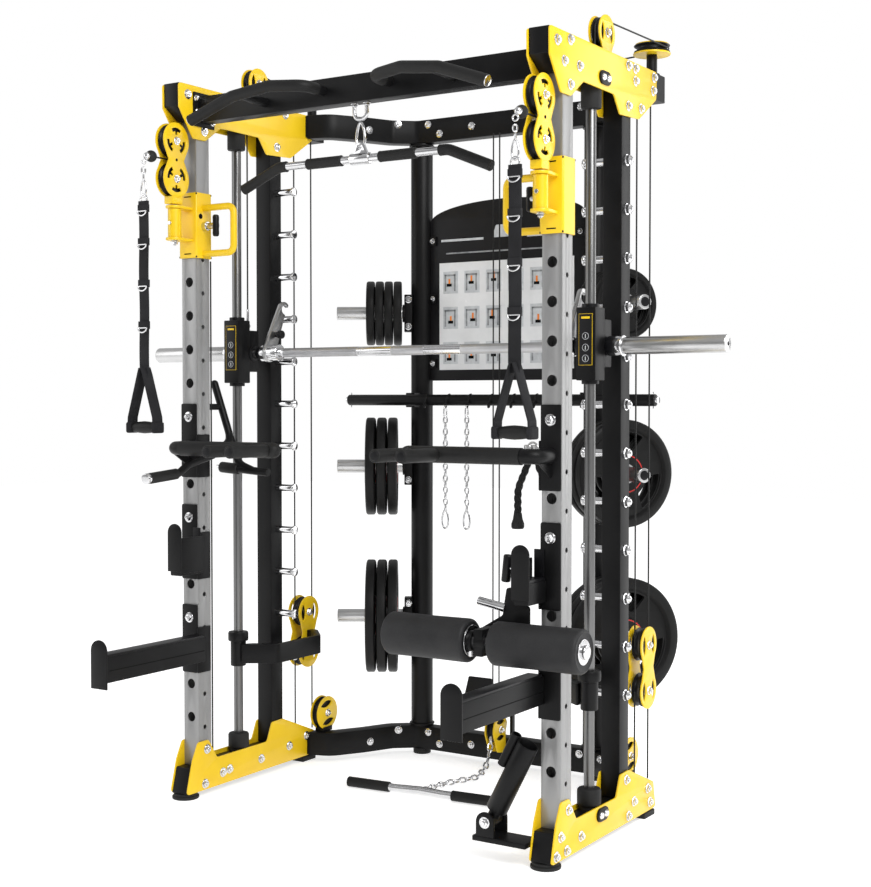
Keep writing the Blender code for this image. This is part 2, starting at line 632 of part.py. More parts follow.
def pop_pin(label, side):
    """Spring pin with a T grip, which locks the carriage to the upright."""
    shaft = rod((side * 0.6085, HALF, POP_PIN_Z), (side * 0.556, HALF, POP_PIN_Z), 0.006, 8)
    neck = rod((side * 0.5875, HALF, POP_PIN_Z), (side * 0.560, HALF, POP_PIN_Z), 0.010, 10)
    grip = rod((side * 0.556, HALF, POP_PIN_Z - 0.034), (side * 0.556, HALF, POP_PIN_Z + 0.034),
               0.011, 10)
    finish(fuse(shaft, neck, grip), "pop_pin_" + label, "rubber", (side * 0.6085, HALF, POP_PIN_Z))


def swivel_bracket(label, side):
    """Pair of side plates on a swivel pin, with the cable's ball stop."""
    x = side * SIDE_X
    body = rod((x, SWIVEL_Y, 1.733), (x, SWIVEL_Y, 1.875), 0.008, 10)
    foot = box((x - 0.0175, x + 0.0175), (SWIVEL_Y - 0.027, SWIVEL_Y + 0.018), (1.850, 1.8735))
    washer = rod((x, SWIVEL_Y, 1.722), (x, SWIVEL_Y, 1.7365), 0.013, 10)
    plates = [outline(figure_eight(SWIVEL_WHEEL_Y, SWIVEL_Z, 0.056), "X",
                      *across(side, SIDE_X + a, SIDE_X + a + 0.004)) for a in (-0.018, 0.014)]
    body = fuse(body, washer, foot, together(plates))
    middle = sum(SWIVEL_Z) / 2
    pins = [rod((x - 0.0175, SWIVEL_WHEEL_Y, z), (x + 0.0175, SWIVEL_WHEEL_Y, z), r, 8)
            for z, r in ((SWIVEL_Z[0], 0.007), (SWIVEL_Z[1], 0.007), (middle, 0.0035))]
    stub = rod((x, SWIVEL_WHEEL_Y, middle), (x, -0.155, middle), CABLE_R, 8)
    body = fuse(body, together(pins), stub, ball((x, -0.167, middle), 0.018))
    finish(body, "swivel_bracket_" + label, "yellow_paint", (x, SWIVEL_Y, 1.790))


def swivel_pulley(label, side, level, z):
    centre = (side * SIDE_X, SWIVEL_WHEEL_Y, z)
    wheel = pulley_wheel(centre, (1, 0, 0), 0.0515, 0.007 + RUN)
    finish(wheel, "swivel_pulley_" + level + "_" + label, "rubber", centre)


def hand_strap(label, side):
    """Webbing strap with its hanging link and triangular hand grip."""
    x = side * SIDE_X
    link = rod((x, STRAP_Y, 1.856), (x, STRAP_Y, 1.950), 0.006, 8)
    web = box((x - 0.019, x + 0.019), (STRAP_Y - 0.0025, STRAP_Y + 0.0025), (1.325, 1.862))
    loop = ((0.019, 1.345), (0.070, 1.195), (0.070, 1.160), (-0.070, 1.160), (-0.070, 1.195),
            (-0.019, 1.345))
    loop = outline([(x + a, b) for a, b in loop], "Y", STRAP_Y - 0.010, STRAP_Y + 0.010)
    gap = ((0.0, 1.295), (0.034, 1.187), (-0.034, 1.187))
    gap = outline([(x + a, b) for a, b in gap], "Y", STRAP_Y - 0.03, STRAP_Y + 0.03)
    grip = rod((x - 0.072, STRAP_Y, 1.166), (x + 0.072, STRAP_Y, 1.166), 0.017, 12)
    body = fuse(cut(loop, gap), grip, web, link)
    finish(body, "hand_strap_" + label, "webbing", (x, STRAP_Y, 1.950))


def arc_route(centre, radius, start, end, count, place):
    return [place(u, v) for u, v in circle(centre, radius, start, end, count)]


def column_cable(label, side):
    """From the pulley carriage down behind the upright, through the base, over the lift pulley."""
    x = side * SIDE_X
    deep, over = 0.055, LIFT_Z[0]
    near, far = LIFT_Y - 0.0445, LIFT_Y + 0.0445
    route = [(x, CABLE_Y, CARRIAGE_LOW - GAP)]
    route += arc_route((CABLE_Y + 0.04, deep + 0.04), 0.04, 180, 270, 5, lambda u, v: (x, u, v))
    route += arc_route((near - 0.04, deep + 0.04), 0.04, -90, 0, 5, lambda u, v: (x, u, v))
    route += arc_route((LIFT_Y, over), 0.0445, 180, 0, 9, lambda u, v: (x, u, v))
    route.append((x, far, 0.225))
    finish(tube(route, CABLE_R, 1), "column_cable_" + label, "rubber")


def smith_cable(label, side):
    """From the bar's carriage up over the top pulley, back to the post pulley and inwards."""
    x, y = side * SMITH_CABLE_X, SMITH_CABLE_Y
    reach = 0.042
    route = [(x, y, 1.479 + GAP)]
    route += arc_route((TOP_PULLEY_Y, TOP_PULLEY_Z), reach, 180, 80, 7, lambda u, v: (x, u, v))
    height = POST_TOP + 0.017
    hub = (side * SIDE_X, POST_Y)
    turn = [(hub[0] + side * 0.0495 * math.cos(math.radians(a)),
             hub[1] + 0.0495 * math.sin(math.radians(a)), height) for a in (-5, 20, 45, 68, 90)]
    route += turn
    route += [(side * 0.30, hub[1] + 0.05, height - 0.015), (side * 0.035, hub[1] + 0.05, height - 0.03)]
    finish(tube(route, CABLE_R, 1), "smith_cable_" + label, "rubber")


# ---------------------------------------------------------------- attachments

def clamp(side, low, high, tongue):
    """Bent sheet on the front and inner faces of an upright, with its locking pin."""
    x, inner = side * SIDE_X, SIDE_X - HALF
    body = box(across(side, inner - 0.0065, inner + 0.0590), (-0.0065, -GAP), (low, high))
    tab = box(across(side, inner + 0.0010, inner + 0.0590), (-0.0065, -GAP), (high - 0.01, tongue))
    cheek = box(across(side, inner - 0.0065, inner - GAP), (-0.0065, 0.052), (low, high))
    z = tongue - 0.041
    pin = rod((x, -0.017, z), (x, -0.002, z), 0.013, 10)
    return fuse(body, tab, cheek, pin)


def spotter_arm(label, side):
    body = clamp(side, 0.392, 0.536, HOLE_Z + 3 * HOLE_PITCH + 0.041)
    arm = box(across(side, 0.574, 0.622), (-SPOTTER_FRONT + 0.004, -0.004), (0.432, 0.515))
    lip = [(side * 0.567, 0.415), (side * 0.629, 0.415)]
    lip += [(side * 0.598 + side * u, v) for u, v in circle((0.0, 0.526), 0.031, 0, 180, 7)]
    lip = outline(lip, "Y", -SPOTTER_FRONT, -SPOTTER_FRONT + 0.008)
    finish(fuse(body, arm, lip), "spotter_arm_" + label, "black_paint")


def j_cup(label, side):
    body = clamp(side, 0.687, 0.834, HOLE_Z + 6 * HOLE_PITCH + 0.041)
    seat = box(across(side, 0.584, 0.628), (-0.106, -0.004), (0.708, 0.775))
    wall = box(across(side, 0.580, 0.586), (-0.106, -0.004), (0.716, 0.826))
    lip = [(side * 0.579, 0.722), (side * 0.633, 0.722)]
    lip += [(side * 0.606 + side * u, v) for u, v in circle((0.0, 0.842), 0.027, 0, 180, 7)]
    lip = outline(lip, "Y", -0.112, -0.104)
    finish(fuse(body, seat, wall, lip), "j_cup_" + label, "black_paint")


def dip_handle(label, side):
    """Bracket, cross tube and two forward grips."""
    x = side * SIDE_X
    body = clamp(side, 1.006, 1.140, HOLE_Z + 9 * HOLE_PITCH + 0.041)
    cross = rounded(((x, -0.004, 1.100), (x, -0.086, 1.100), (side * 0.236, -0.086, 1.100)), 0.06, 4)
    body = fuse(body, tube(cross, 0.023))
    for grip_x in (0.336, 0.252):
        grip = [(side * grip_x, y, 1.100) for y in (-0.080, -0.272)]
        body = fuse(body, rod(grip[0], grip[1], 0.0185, 12))
    finish(body, "dip_handle_" + label, "black_paint")


def roller_bracket():
    """Side plate on the right upright with an arm that carries the roller axle."""
    arm = ((0.484, -0.146), (0.512, -0.146), (0.512, -0.054), (0.6097, -0.054), (0.6097, 0.052),
           (0.6037, 0.052), (0.6037, -0.012), (0.484, -0.012))
    body = outline(arm, "Z", 0.566, 0.646)
    hub = rod((0.482, ROLLER_Y, ROLLER_Z), (0.514, ROLLER_Y, ROLLER_Z), 0.034, 12)
    body = cut(fuse(body, hub),
               rod((0.4, ROLLER_Y, ROLLER_Z), (0.6, ROLLER_Y, ROLLER_Z), 0.0205, 12))
    finish(body, "roller_bracket", "black_paint")


def foam_rollers():
    axle = rod((0.196, ROLLER_Y, ROLLER_Z), (0.812, ROLLER_Y, ROLLER_Z), 0.0195, 12)
    pads = [rod((a, ROLLER_Y, ROLLER_Z), (b, ROLLER_Y, ROLLER_Z), ROLLER_R, 16)
            for a, b in ((0.198, 0.476), (0.520, 0.808))]
    finish(fuse(axle, together(pads)), "foam_rollers", "foam", (0.5, ROLLER_Y, ROLLER_Z))


def landmine_socket():
    """Open tube on a cross bolt, leaning on the front upright, with a small tube beside it."""
    pivot = Vector((MINE_X, MINE_Y, MINE_Z))
    way = Vector((math.sin(MINE_LEAN), 0.0, math.cos(MINE_LEAN)))
    beside = Vector((-math.cos(MINE_LEAN), 0.0, math.sin(MINE_LEAN)))
    body = rod(pivot + way * 0.034, pivot + way * 0.247, 0.030, 14)
    lug = rod(pivot + Vector((0, -0.026, 0)), pivot + Vector((0, 0.026, 0)), 0.020, 12)
    neck = rod(pivot, pivot + way * 0.05, 0.017, 10)
    keeper = rod(pivot + way * 0.150 + beside * 0.042, pivot + way * 0.252 + beside * 0.042,
                 0.014, 10)
    body = fuse(body, neck, lug, keeper)
    body = cut(body, rod(pivot + way * 0.060, pivot + way * 0.3, 0.0255, 14),
               rod(pivot + Vector((0, -0.1, 0)), pivot + Vector((0, 0.1, 0)), 0.0065, 8))
    finish(body, "landmine_socket", "black_paint", pivot)


def lat_bar():
    y = 0.025
    route = rounded(((-0.438, y, 1.890), (-0.300, y, LAT_BAR_Z), (0.300, y, LAT_BAR_Z),
                     (0.438, y, 1.890)), 0.06)
    body = tube(route, 0.0125)
    plate = box((-0.030, 0.030), (y - 0.004, y + 0.004), (LAT_BAR_Z, 1.992))
    link = rod((0.0, y, 1.985), (0.0, y, 2.052), 0.005, 8)
    finish(fuse(body, plate, link), "lat_bar", "chrome", (0.0, y, 2.052))


def row_bar():
    """Short bar that lies on the floor at the end of its chain."""
    route = ((-0.287, 0.357, 0.0165), (-0.110, 0.3725, 0.0165), (-0.030, 0.382, 0.019),
             (0.050, 0.3870, 0.0165), (0.222, 0.402, 0.0165))
    body = tube(rounded(route, 0.04), 0.0125)
    grips = together([rod(route[0], route[1], 0.0162, 12), rod(route[3], route[4], 0.0162, 12)])
    finish(fuse(body, grips), "row_bar", "chrome")


def triceps_rope():
    """Doubled rope that hangs from the storage bar."""
    x, y = 0.170, 0.752
    half, top, spread, low = 14, 1.100, 0.062, 0.818
    route = []
    for i in range(-half, half + 1):
        t = abs(i) / half
        out = spread * (1 - math.cos(math.pi * min(t * 2.2, 1.0))) / 2
        drop = (top - low) * (t ** 1.25)
        route.append((x + math.copysign(out, i), y, top - drop))
    finish(tube(route, 0.0135, 2), "triceps_rope", "rubber")


# ---------------------------------------------------------------- assembly

def main():
    clear_scene()
    collection = bpy.data.collections.new(NAME)
    bpy.context.scene.collection.children.link(collection)
    origin = bpy.data.objects.new("machine_origin", None)
    origin.location = (0.0, MACHINE_Y, 0.0)
    collection.objects.link(origin)
    for label, side in SIDES:
        front_upright(label, side)
        rear_upright(label, side)
        base_beam(label, side)
        top_beam(label, side)
        gusset(label, side, "bottom", BOTTOM_GUSSET)
        gusset(label, side, "top", TOP_GUSSET)
        guide_rod(label, side)
        rear_column(label, side)
        for spec in STACKS:
            plate_stack(label, side, spec)
        smith_carriage(label, side)
        lift_carriage(label, side)
        pulley_carriage(label, side)
        pop_pin(label, side)
        swivel_bracket(label, side)
        for level, z in zip(("lower", "upper"), SWIVEL_Z):
            swivel_pulley(label, side, level, z)
        hand_strap(label, side)
        column_cable(label, side)
        smith_cable(label, side)
        spotter_arm(label, side)
        j_cup(label, side)
        dip_handle(label, side)
    crossmember("rear_base_crossmember", 0.020, 0.100, True)
    crossmember("rear_top_crossmember", BEAM_LOW, BEAM_TOP, False)
    sign_panel()
    storage_bar()
    pull_up_bar()
    smith_bar()
    roller_bracket()
    foam_rollers()
    landmine_socket()
    lat_bar()
    row_bar()
    triceps_rope()


main()
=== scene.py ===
"""Looks of the smith machine: every visible surface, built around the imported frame.

All shapes are written in the machine's own frame (X = 0 in the middle, Y = 0 on the front face of
the front uprights, Z = 0 on the floor, metres) and are moved to the row frame by Shape.place().
"""

from math import atan2, cos, degrees, hypot, pi, radians, sin, tan, tau

import bmesh
import bpy
from mathutils import Matrix, Vector


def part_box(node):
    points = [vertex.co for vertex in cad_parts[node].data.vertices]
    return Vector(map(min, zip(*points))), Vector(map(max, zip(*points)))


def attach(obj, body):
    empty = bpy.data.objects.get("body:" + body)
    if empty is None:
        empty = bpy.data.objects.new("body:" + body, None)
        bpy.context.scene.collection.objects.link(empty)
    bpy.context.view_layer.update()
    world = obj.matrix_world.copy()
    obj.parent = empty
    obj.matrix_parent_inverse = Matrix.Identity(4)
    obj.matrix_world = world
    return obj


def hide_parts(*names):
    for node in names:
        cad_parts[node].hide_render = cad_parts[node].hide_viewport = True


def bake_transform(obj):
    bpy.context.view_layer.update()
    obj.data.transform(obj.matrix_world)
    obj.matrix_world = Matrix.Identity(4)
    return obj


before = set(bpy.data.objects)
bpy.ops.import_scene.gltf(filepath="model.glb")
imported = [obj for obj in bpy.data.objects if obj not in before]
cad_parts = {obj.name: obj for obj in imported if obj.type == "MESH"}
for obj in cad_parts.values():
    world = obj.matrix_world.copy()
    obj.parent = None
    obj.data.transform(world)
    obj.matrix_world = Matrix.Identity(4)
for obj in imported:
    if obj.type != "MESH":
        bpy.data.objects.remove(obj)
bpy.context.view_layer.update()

FRONT_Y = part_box("front_upright_left")[0][1]     # the machine frame's Y = 0 in the row frame
TO_ROW = Matrix.Translation((0.0, FRONT_Y, 0.0))
SIDES = (("left", -1.0), ("right", 1.0))
OUT, UP = (1, 0, 0), (0, 0, 1)

# driving dimensions, shared with the CAD parts
SIDE_X, HALF = 0.640, 0.030
BASE_LOW, BASE_TOP, BEAM_LOW, BEAM_TOP = 0.017, 0.097, 2.140, 2.220
REAR_UPRIGHT_Y = 0.3625
INNER_X, OUTER_X, PLATE_T = 0.6047, 0.6703, 0.005
HOLE_Z, HOLE_PITCH, HOLE_COUNT, HOLE_R = 0.2506, 0.105, 15, 0.015
PEG_Z, PEG_PITCH, PEG_COUNT, PEG_Y, PEG_R = 0.395, 0.140, 12, 0.395, 0.0115
PEG_TIP_X, PEG_HEAD_R = 0.532, 0.015
ROD_Y, ROD_R = 0.228, 0.015
BAR_Y, BAR_Z, BAR_R, BAR_HALF, SLEEVE_R = 0.277, 1.400, 0.015, 1.025, 0.0245
HOOK_X, HOOK_LEAN, HOOK_PEG = 0.549, radians(17.5), 8
CABLE_R, CABLE_Y = 0.0025, 0.100
SMITH_CABLE_X, SMITH_CABLE_Y, SMITH_CABLE_LOW = 0.630, 0.270, 1.479
TOP_PULLEY_Y, TOP_PULLEY_Z = 0.312, 2.283
POST_Y, POST_TOP = 0.632, 2.284
LIFT_Y, LIFT_Z = 0.576, (0.377, 0.514)
SWIVEL_Y, SWIVEL_WHEEL_Y, SWIVEL_Z = -0.065, -0.074, (1.926, 2.042)
STRAP_Y = -0.200
CARRIAGE_LOW, CARRIAGE_TOP, POP_PIN_Z = 1.690, 1.893, 1.790
COLUMN_X, COLUMN_Y, COLUMN_R = 0.338, 0.868, 0.038
HORN_ANGLE, HORN_REACH, HORN_R = radians(33.0), 0.298, 0.023
STORE_BAR_Y, STORE_BAR_Z, STORE_BAR_R = 0.784, 1.2475, 0.019
# each stack: name, height, plate radius, count, distance out, pitch, rim thickness
STACKS = (("upper", 1.551, 0.112, 4, 0.071, 0.0315, 0.0275),
          ("middle", 1.015, 0.171, 3, 0.086, 0.0385, 0.0325),
          ("lower", 0.487, 0.1975, 3, 0.086, 0.0385, 0.0325))
SPOTTER_FRONT = 0.440
ROLLER_Y, ROLLER_Z, ROLLER_R = -0.120, 0.606, 0.059
MINE_X, MINE_Y, MINE_Z, MINE_LEAN = 0.480, -0.040, 0.108, radians(27.3)
LAT_BAR_Z = 1.947
PULL_UP_ROUTE = ((0.118, 0.002, 2.150), (0.118, -0.085, 2.152), (0.230, -0.110, 2.158),
                 (0.360, -0.122, 2.140), (0.516, -0.129, 2.084))
PULL_UP_BRACE = ((0.335, 0.002, 2.140), (0.335, -0.060, 2.142), (0.330, -0.116, 2.144))
SHARP_ANGLE = radians(38.0)                      # edges sharper than this are not shaded smooth


# ---------------------------------------------------------------- materials

MAT, SLOT = {}, {}


def node(tree, kind, inputs=(), **attributes):
    """A new shader node with some attributes and inputs set."""
    made = tree.nodes.new("ShaderNode" + kind)
    for name, value in attributes.items():
        setattr(made, name, value)
    for name, value in dict(inputs).items():
        made.inputs[name].default_value = value
    return made


def ramp(tree, source, stops):
    """The colour output of a ramp; each stop is a position and a colour or a grey level."""
    made = node(tree, "ValToRGB")
    elements = made.color_ramp.elements
    while len(elements) < len(stops):
        elements.new(0.5)
    for stop, (position, colour) in zip(elements, stops):
        stop.position = position
        stop.color = (*(colour if isinstance(colour, tuple) else (colour,) * 3), 1.0)
    tree.links.new(source, made.inputs["Fac"])
    return made.outputs["Color"]


def relief(tree, height, strength, depth):
    """Let a height pattern bend the normals of the finish."""
    bump = node(tree, "Bump", {"Strength": strength, "Distance": depth})
    tree.links.new(height, bump.inputs["Height"])
    tree.links.new(bump.outputs["Normal"], tree.nodes["Principled BSDF"].inputs["Normal"])


def painted(name, low, high, rough, metallic=0.0, grain=420.0, bump=0.05, coat=0.0, patch=9.0,
            depth=0.0004, shine=0.5):
    """A finish that drifts between two colours, with a fine grain in its height and gloss."""
    mat = bpy.data.materials.new(name)
    mat.use_nodes = True
    tree = mat.node_tree
    link = tree.links.new
    shader = tree.nodes["Principled BSDF"]
    for socket, value in (("Metallic", metallic), ("Specular IOR Level", shine),
                          ("Coat Weight", coat), ("Coat Roughness", 0.15)):
        shader.inputs[socket].default_value = value
    place = node(tree, "TexCoord")
    drift = node(tree, "TexNoise", {"Scale": patch, "Detail": 6.0})
    fine = node(tree, "TexNoise", {"Scale": grain, "Detail": 3.0})
    both = node(tree, "Math", {1: 0.35}, operation="MULTIPLY_ADD")
    gloss = node(tree, "MapRange", {"To Min": rough[0], "To Max": rough[1]})
    for texture in (drift, fine):
        link(place.outputs["Object"], texture.inputs["Vector"])
    link(fine.outputs["Fac"], both.inputs[0])
    link(drift.outputs["Fac"], both.inputs[2])
    link(ramp(tree, both.outputs[0], ((0.45, low), (0.85, high))), shader.inputs["Base Color"])
    link(drift.outputs["Fac"], gloss.inputs["Value"])
    link(gloss.outputs["Result"], shader.inputs["Roughness"])
    if bump:
        relief(tree, fine.outputs["Fac"], bump, depth)
    return mat


def ribbed(name, low, high, rough, axis, pitch, depth=0.0006, **look):
    """A finish with fine ribs across one axis, for webbing, braid and knurling."""
    mat = painted(name, low, high, rough, grain=900.0, bump=0.0, **look)
    tree = mat.node_tree
    place = node(tree, "TexCoord")
    both = node(tree, "Math", operation="MULTIPLY")
    for i, (direction, scale) in enumerate(((axis, 1.0), ("DIAGONAL", 0.7))):
        wave = node(tree, "TexWave", {"Scale": scale * 0.314 / pitch, "Distortion": 0.6},
                    bands_direction=direction)
        tree.links.new(place.outputs["Object"], wave.inputs["Vector"])
        tree.links.new(wave.outputs["Fac"], both.inputs[i])
    relief(tree, both.outputs[0], 0.7, depth)
    return mat


def finish(key, slot, kind, name, low, high, rough, *rest, **look):
    """Register a finish under a short key, with the CAD material slot it stands for."""
    MAT[key] = kind(name, low, high, rough, *rest, **look)
    if slot:
        SLOT[key] = slot


finish("black", "black_paint", painted, "black powder coat", (0.0035, 0.0035, 0.0038),
       (0.0070, 0.0070, 0.0074), (0.34, 0.46), grain=900.0, bump=0.10, shine=0.16)
finish("silver", "silver_paint", painted, "silver powder coat", 0.27, 0.31, (0.36, 0.42), 0.50,
       grain=1100.0, bump=0.06, patch=2.0)
finish("yellow", "yellow_paint", painted, "yellow powder coat", (0.78, 0.50, 0.005),
       (0.85, 0.57, 0.010), (0.30, 0.42), grain=700.0, bump=0.07, coat=0.15, shine=0.40)
finish("chrome", "chrome", painted, "chrome", (0.58, 0.58, 0.59), (0.72, 0.72, 0.73),
       (0.10, 0.17), 1.0, grain=240.0, bump=0.008)
finish("steel", "chrome", painted, "brushed steel", 0.46, 0.58, (0.24, 0.34), 1.0, grain=500.0,
       bump=0.03)
finish("shaft", "chrome", painted, "hardened shaft", 0.16, 0.18, (0.30, 0.33), 1.0, grain=300.0,
       bump=0.0, patch=2.0)
finish("knurl", "chrome", ribbed, "knurled chrome", (0.40, 0.40, 0.41), (0.55, 0.55, 0.56),
       (0.30, 0.42), "X", 0.0012, 0.0002, metallic=1.0)
finish("rubber", "rubber", painted, "black rubber", 0.007, 0.016, (0.55, 0.75), grain=600.0,
       bump=0.18, shine=0.28)
finish("plate", "rubber", painted, "rubber coated plate", 0.005, 0.009, (0.38, 0.52),
       grain=380.0, bump=0.12, shine=0.18)
finish("plastic", "rubber", painted, "moulded plastic", (0.004, 0.004, 0.005),
       (0.008, 0.008, 0.009), (0.28, 0.36), grain=500.0, bump=0.06, shine=0.22)
finish("foam", "foam", painted, "closed cell foam", (0.011, 0.011, 0.012),
       (0.024, 0.024, 0.025), (0.50, 0.66), grain=330.0, bump=0.30, depth=0.0008, shine=0.28)
finish("grip", "foam", painted, "foam grip", 0.007, 0.014, (0.46, 0.60), grain=520.0, bump=0.25,
       shine=0.22)
finish("webbing", "webbing", ribbed, "webbing", (0.007, 0.007, 0.008), (0.018, 0.018, 0.020),
       (0.70, 0.85), "Z", 0.0022, shine=0.22)
finish("braid", "webbing", ribbed, "braided rope", 0.007, 0.022, (0.70, 0.85), "Z", 0.006,
       0.0016, shine=0.22)
finish("cable", "rubber", painted, "coated cable", 0.006, 0.011, (0.34, 0.46), grain=500.0,
       shine=0.30)
finish("sheet", "sign_black", painted, "black sheet", (0.007, 0.007, 0.008),
       (0.011, 0.011, 0.012), (0.36, 0.46), grain=800.0, bump=0.05, shine=0.18)
finish("paper", "", painted, "printed sheet", (0.74, 0.75, 0.76), (0.82, 0.83, 0.84),
       (0.22, 0.30), grain=60.0, bump=0.0)
finish("ink_grey", "", painted, "grey print", (0.16, 0.17, 0.18), (0.34, 0.35, 0.36),
       (0.25, 0.35), grain=160.0, bump=0.0, patch=60.0)
finish("ink_pale", "", painted, "pale print", (0.48, 0.50, 0.52), (0.60, 0.62, 0.64),
       (0.25, 0.35), grain=160.0, bump=0.0, patch=60.0)
finish("red", "", painted, "red ring", (0.42, 0.010, 0.008), (0.55, 0.016, 0.012),
       (0.30, 0.42), grain=400.0)
finish("orange", "", painted, "orange print", (0.80, 0.20, 0.01), (0.88, 0.26, 0.02),
       (0.30, 0.40), grain=200.0, bump=0.0)
# dark: painted shade that stands in for the unlit insides of holes, slits and a groove; the tile
# drawings also use it as dark print
finish("dark", "", painted, "unlit hollow", 0.003, 0.005, (0.70, 0.85), grain=300.0, shine=0.10)


# ---------------------------------------------------------------- shapes

def ring_of(centre, radius, start, end, count):
    """Points on an arc in a plane, from start to end in degrees."""
    turns = [radians(start + (end - start) * i / count) for i in range(count + 1)]
    return [(centre[0] + radius * cos(a), centre[1] + radius * sin(a)) for a in turns]


def ring3(centre, radius, count=24):
    """A circle of points in space, across Y."""
    cx, cy, cz = centre
    return [(cx + radius * cos(tau * i / count), cy, cz + radius * sin(tau * i / count))
            for i in range(count)]


def rect(u, v):
    """Corners of an upright rectangle from its limits."""
    return [(u[0], v[0]), (u[1], v[0]), (u[1], v[1]), (u[0], v[1])]


def round_top(x, half, foot, top):
    """A tongue with straight sides and a half-round end."""
    return [(x - half, foot), (x + half, foot)] + ring_of((x, top), half, 0, 180, 20)


def thick(x, half):
    return (x - half, x + half)


def bend(start, corner, end, steps):
    """Points of the curve that rounds a corner."""
    ts = [step / steps for step in range(steps + 1)]
    return [start * (1 - t) ** 2 + corner * 2 * t * (1 - t) + end * t ** 2 for t in ts]


def rounded(points, radius, steps=8):
    """Round the inner corners of a route of straight runs."""
    points = [Vector(point) for point in points]
    route = [points[0]]
    for before, corner, after in zip(points, points[1:], points[2:]):
        back, on = (before - corner).normalized(), (after - corner).normalized()
        half = back.angle(on) / 2
        if half > radians(88.5):                 # nearly straight: nothing to round
            route.append(corner)
            continue
        reach = min(radius / tan(half), 0.48 * (before - corner).length,
                    0.48 * (after - corner).length)
        route += bend(corner + back * reach, corner, corner + on * reach, steps)
    route.append(points[-1])
    return route


def fillet(points, radius, steps=5):
    """Round every corner of a closed outline."""
    count, out = len(points), []
    for i in range(count):
        before, corner, after = (Vector(points[(i + k) % count]) for k in (-1, 0, 1))
        back, on = before - corner, after - corner
        reach = min(radius / tan(back.angle(on) / 2), 0.45 * back.length, 0.45 * on.length)
        out += bend(corner + back.normalized() * reach, corner, corner + on.normalized() * reach,
                    steps)
    return [tuple(point) for point in out]


def part_of(route, keep):
    """The stretch of a route whose points pass a test, cut to within a step."""
    step = 0.004
    fine = []
    for a, b in zip(route, route[1:]):
        count = max(1, round((b - a).length / step))
        fine += [a.lerp(b, k / count) for k in range(count)]
    return [point for point in fine + [route[-1]] if keep(point)]


def plane(axis, depth):
    """The matrix that puts a drawing in (u, v) on the plane across an axis."""
    if axis == "X":
        return Matrix(((0, 0, 1, depth), (1, 0, 0, 0), (0, 1, 0, 0), (0, 0, 0, 1)))
    if axis == "Y":
        return Matrix(((1, 0, 0, 0), (0, 0, -1, depth), (0, 1, 0, 0), (0, 0, 0, 1)))
    return Matrix.Translation((0, 0, depth))


def mirrored(side):
    """A profile closed by its own mirror image, for things that are alike on both faces."""
    return list(side) + [(r, -h) for r, h in reversed(side)]


def loft(rings, ends="open"):
    """Skin a row of rings of points; a single point makes a tip, and ends may be capped."""
    part = bmesh.new()
    rings = [[part.verts.new(point) for point in ring] for ring in rings]
    for low, high in zip(rings, rings[1:] + rings[:1] if ends == "joined" else rings[1:]):
        count = max(len(low), len(high))
        for i in range(count):
            j = (i + 1) % count
            if len(low) == 1:
                part.faces.new((low[0], high[j], high[i]))
            elif len(high) == 1:
                part.faces.new((low[i], low[j], high[0]))
            else:
                part.faces.new((low[i], low[j], high[j], high[i]))
    if ends == "capped":
        part.faces.new(rings[0][::-1])
        part.faces.new(rings[-1])
    return part


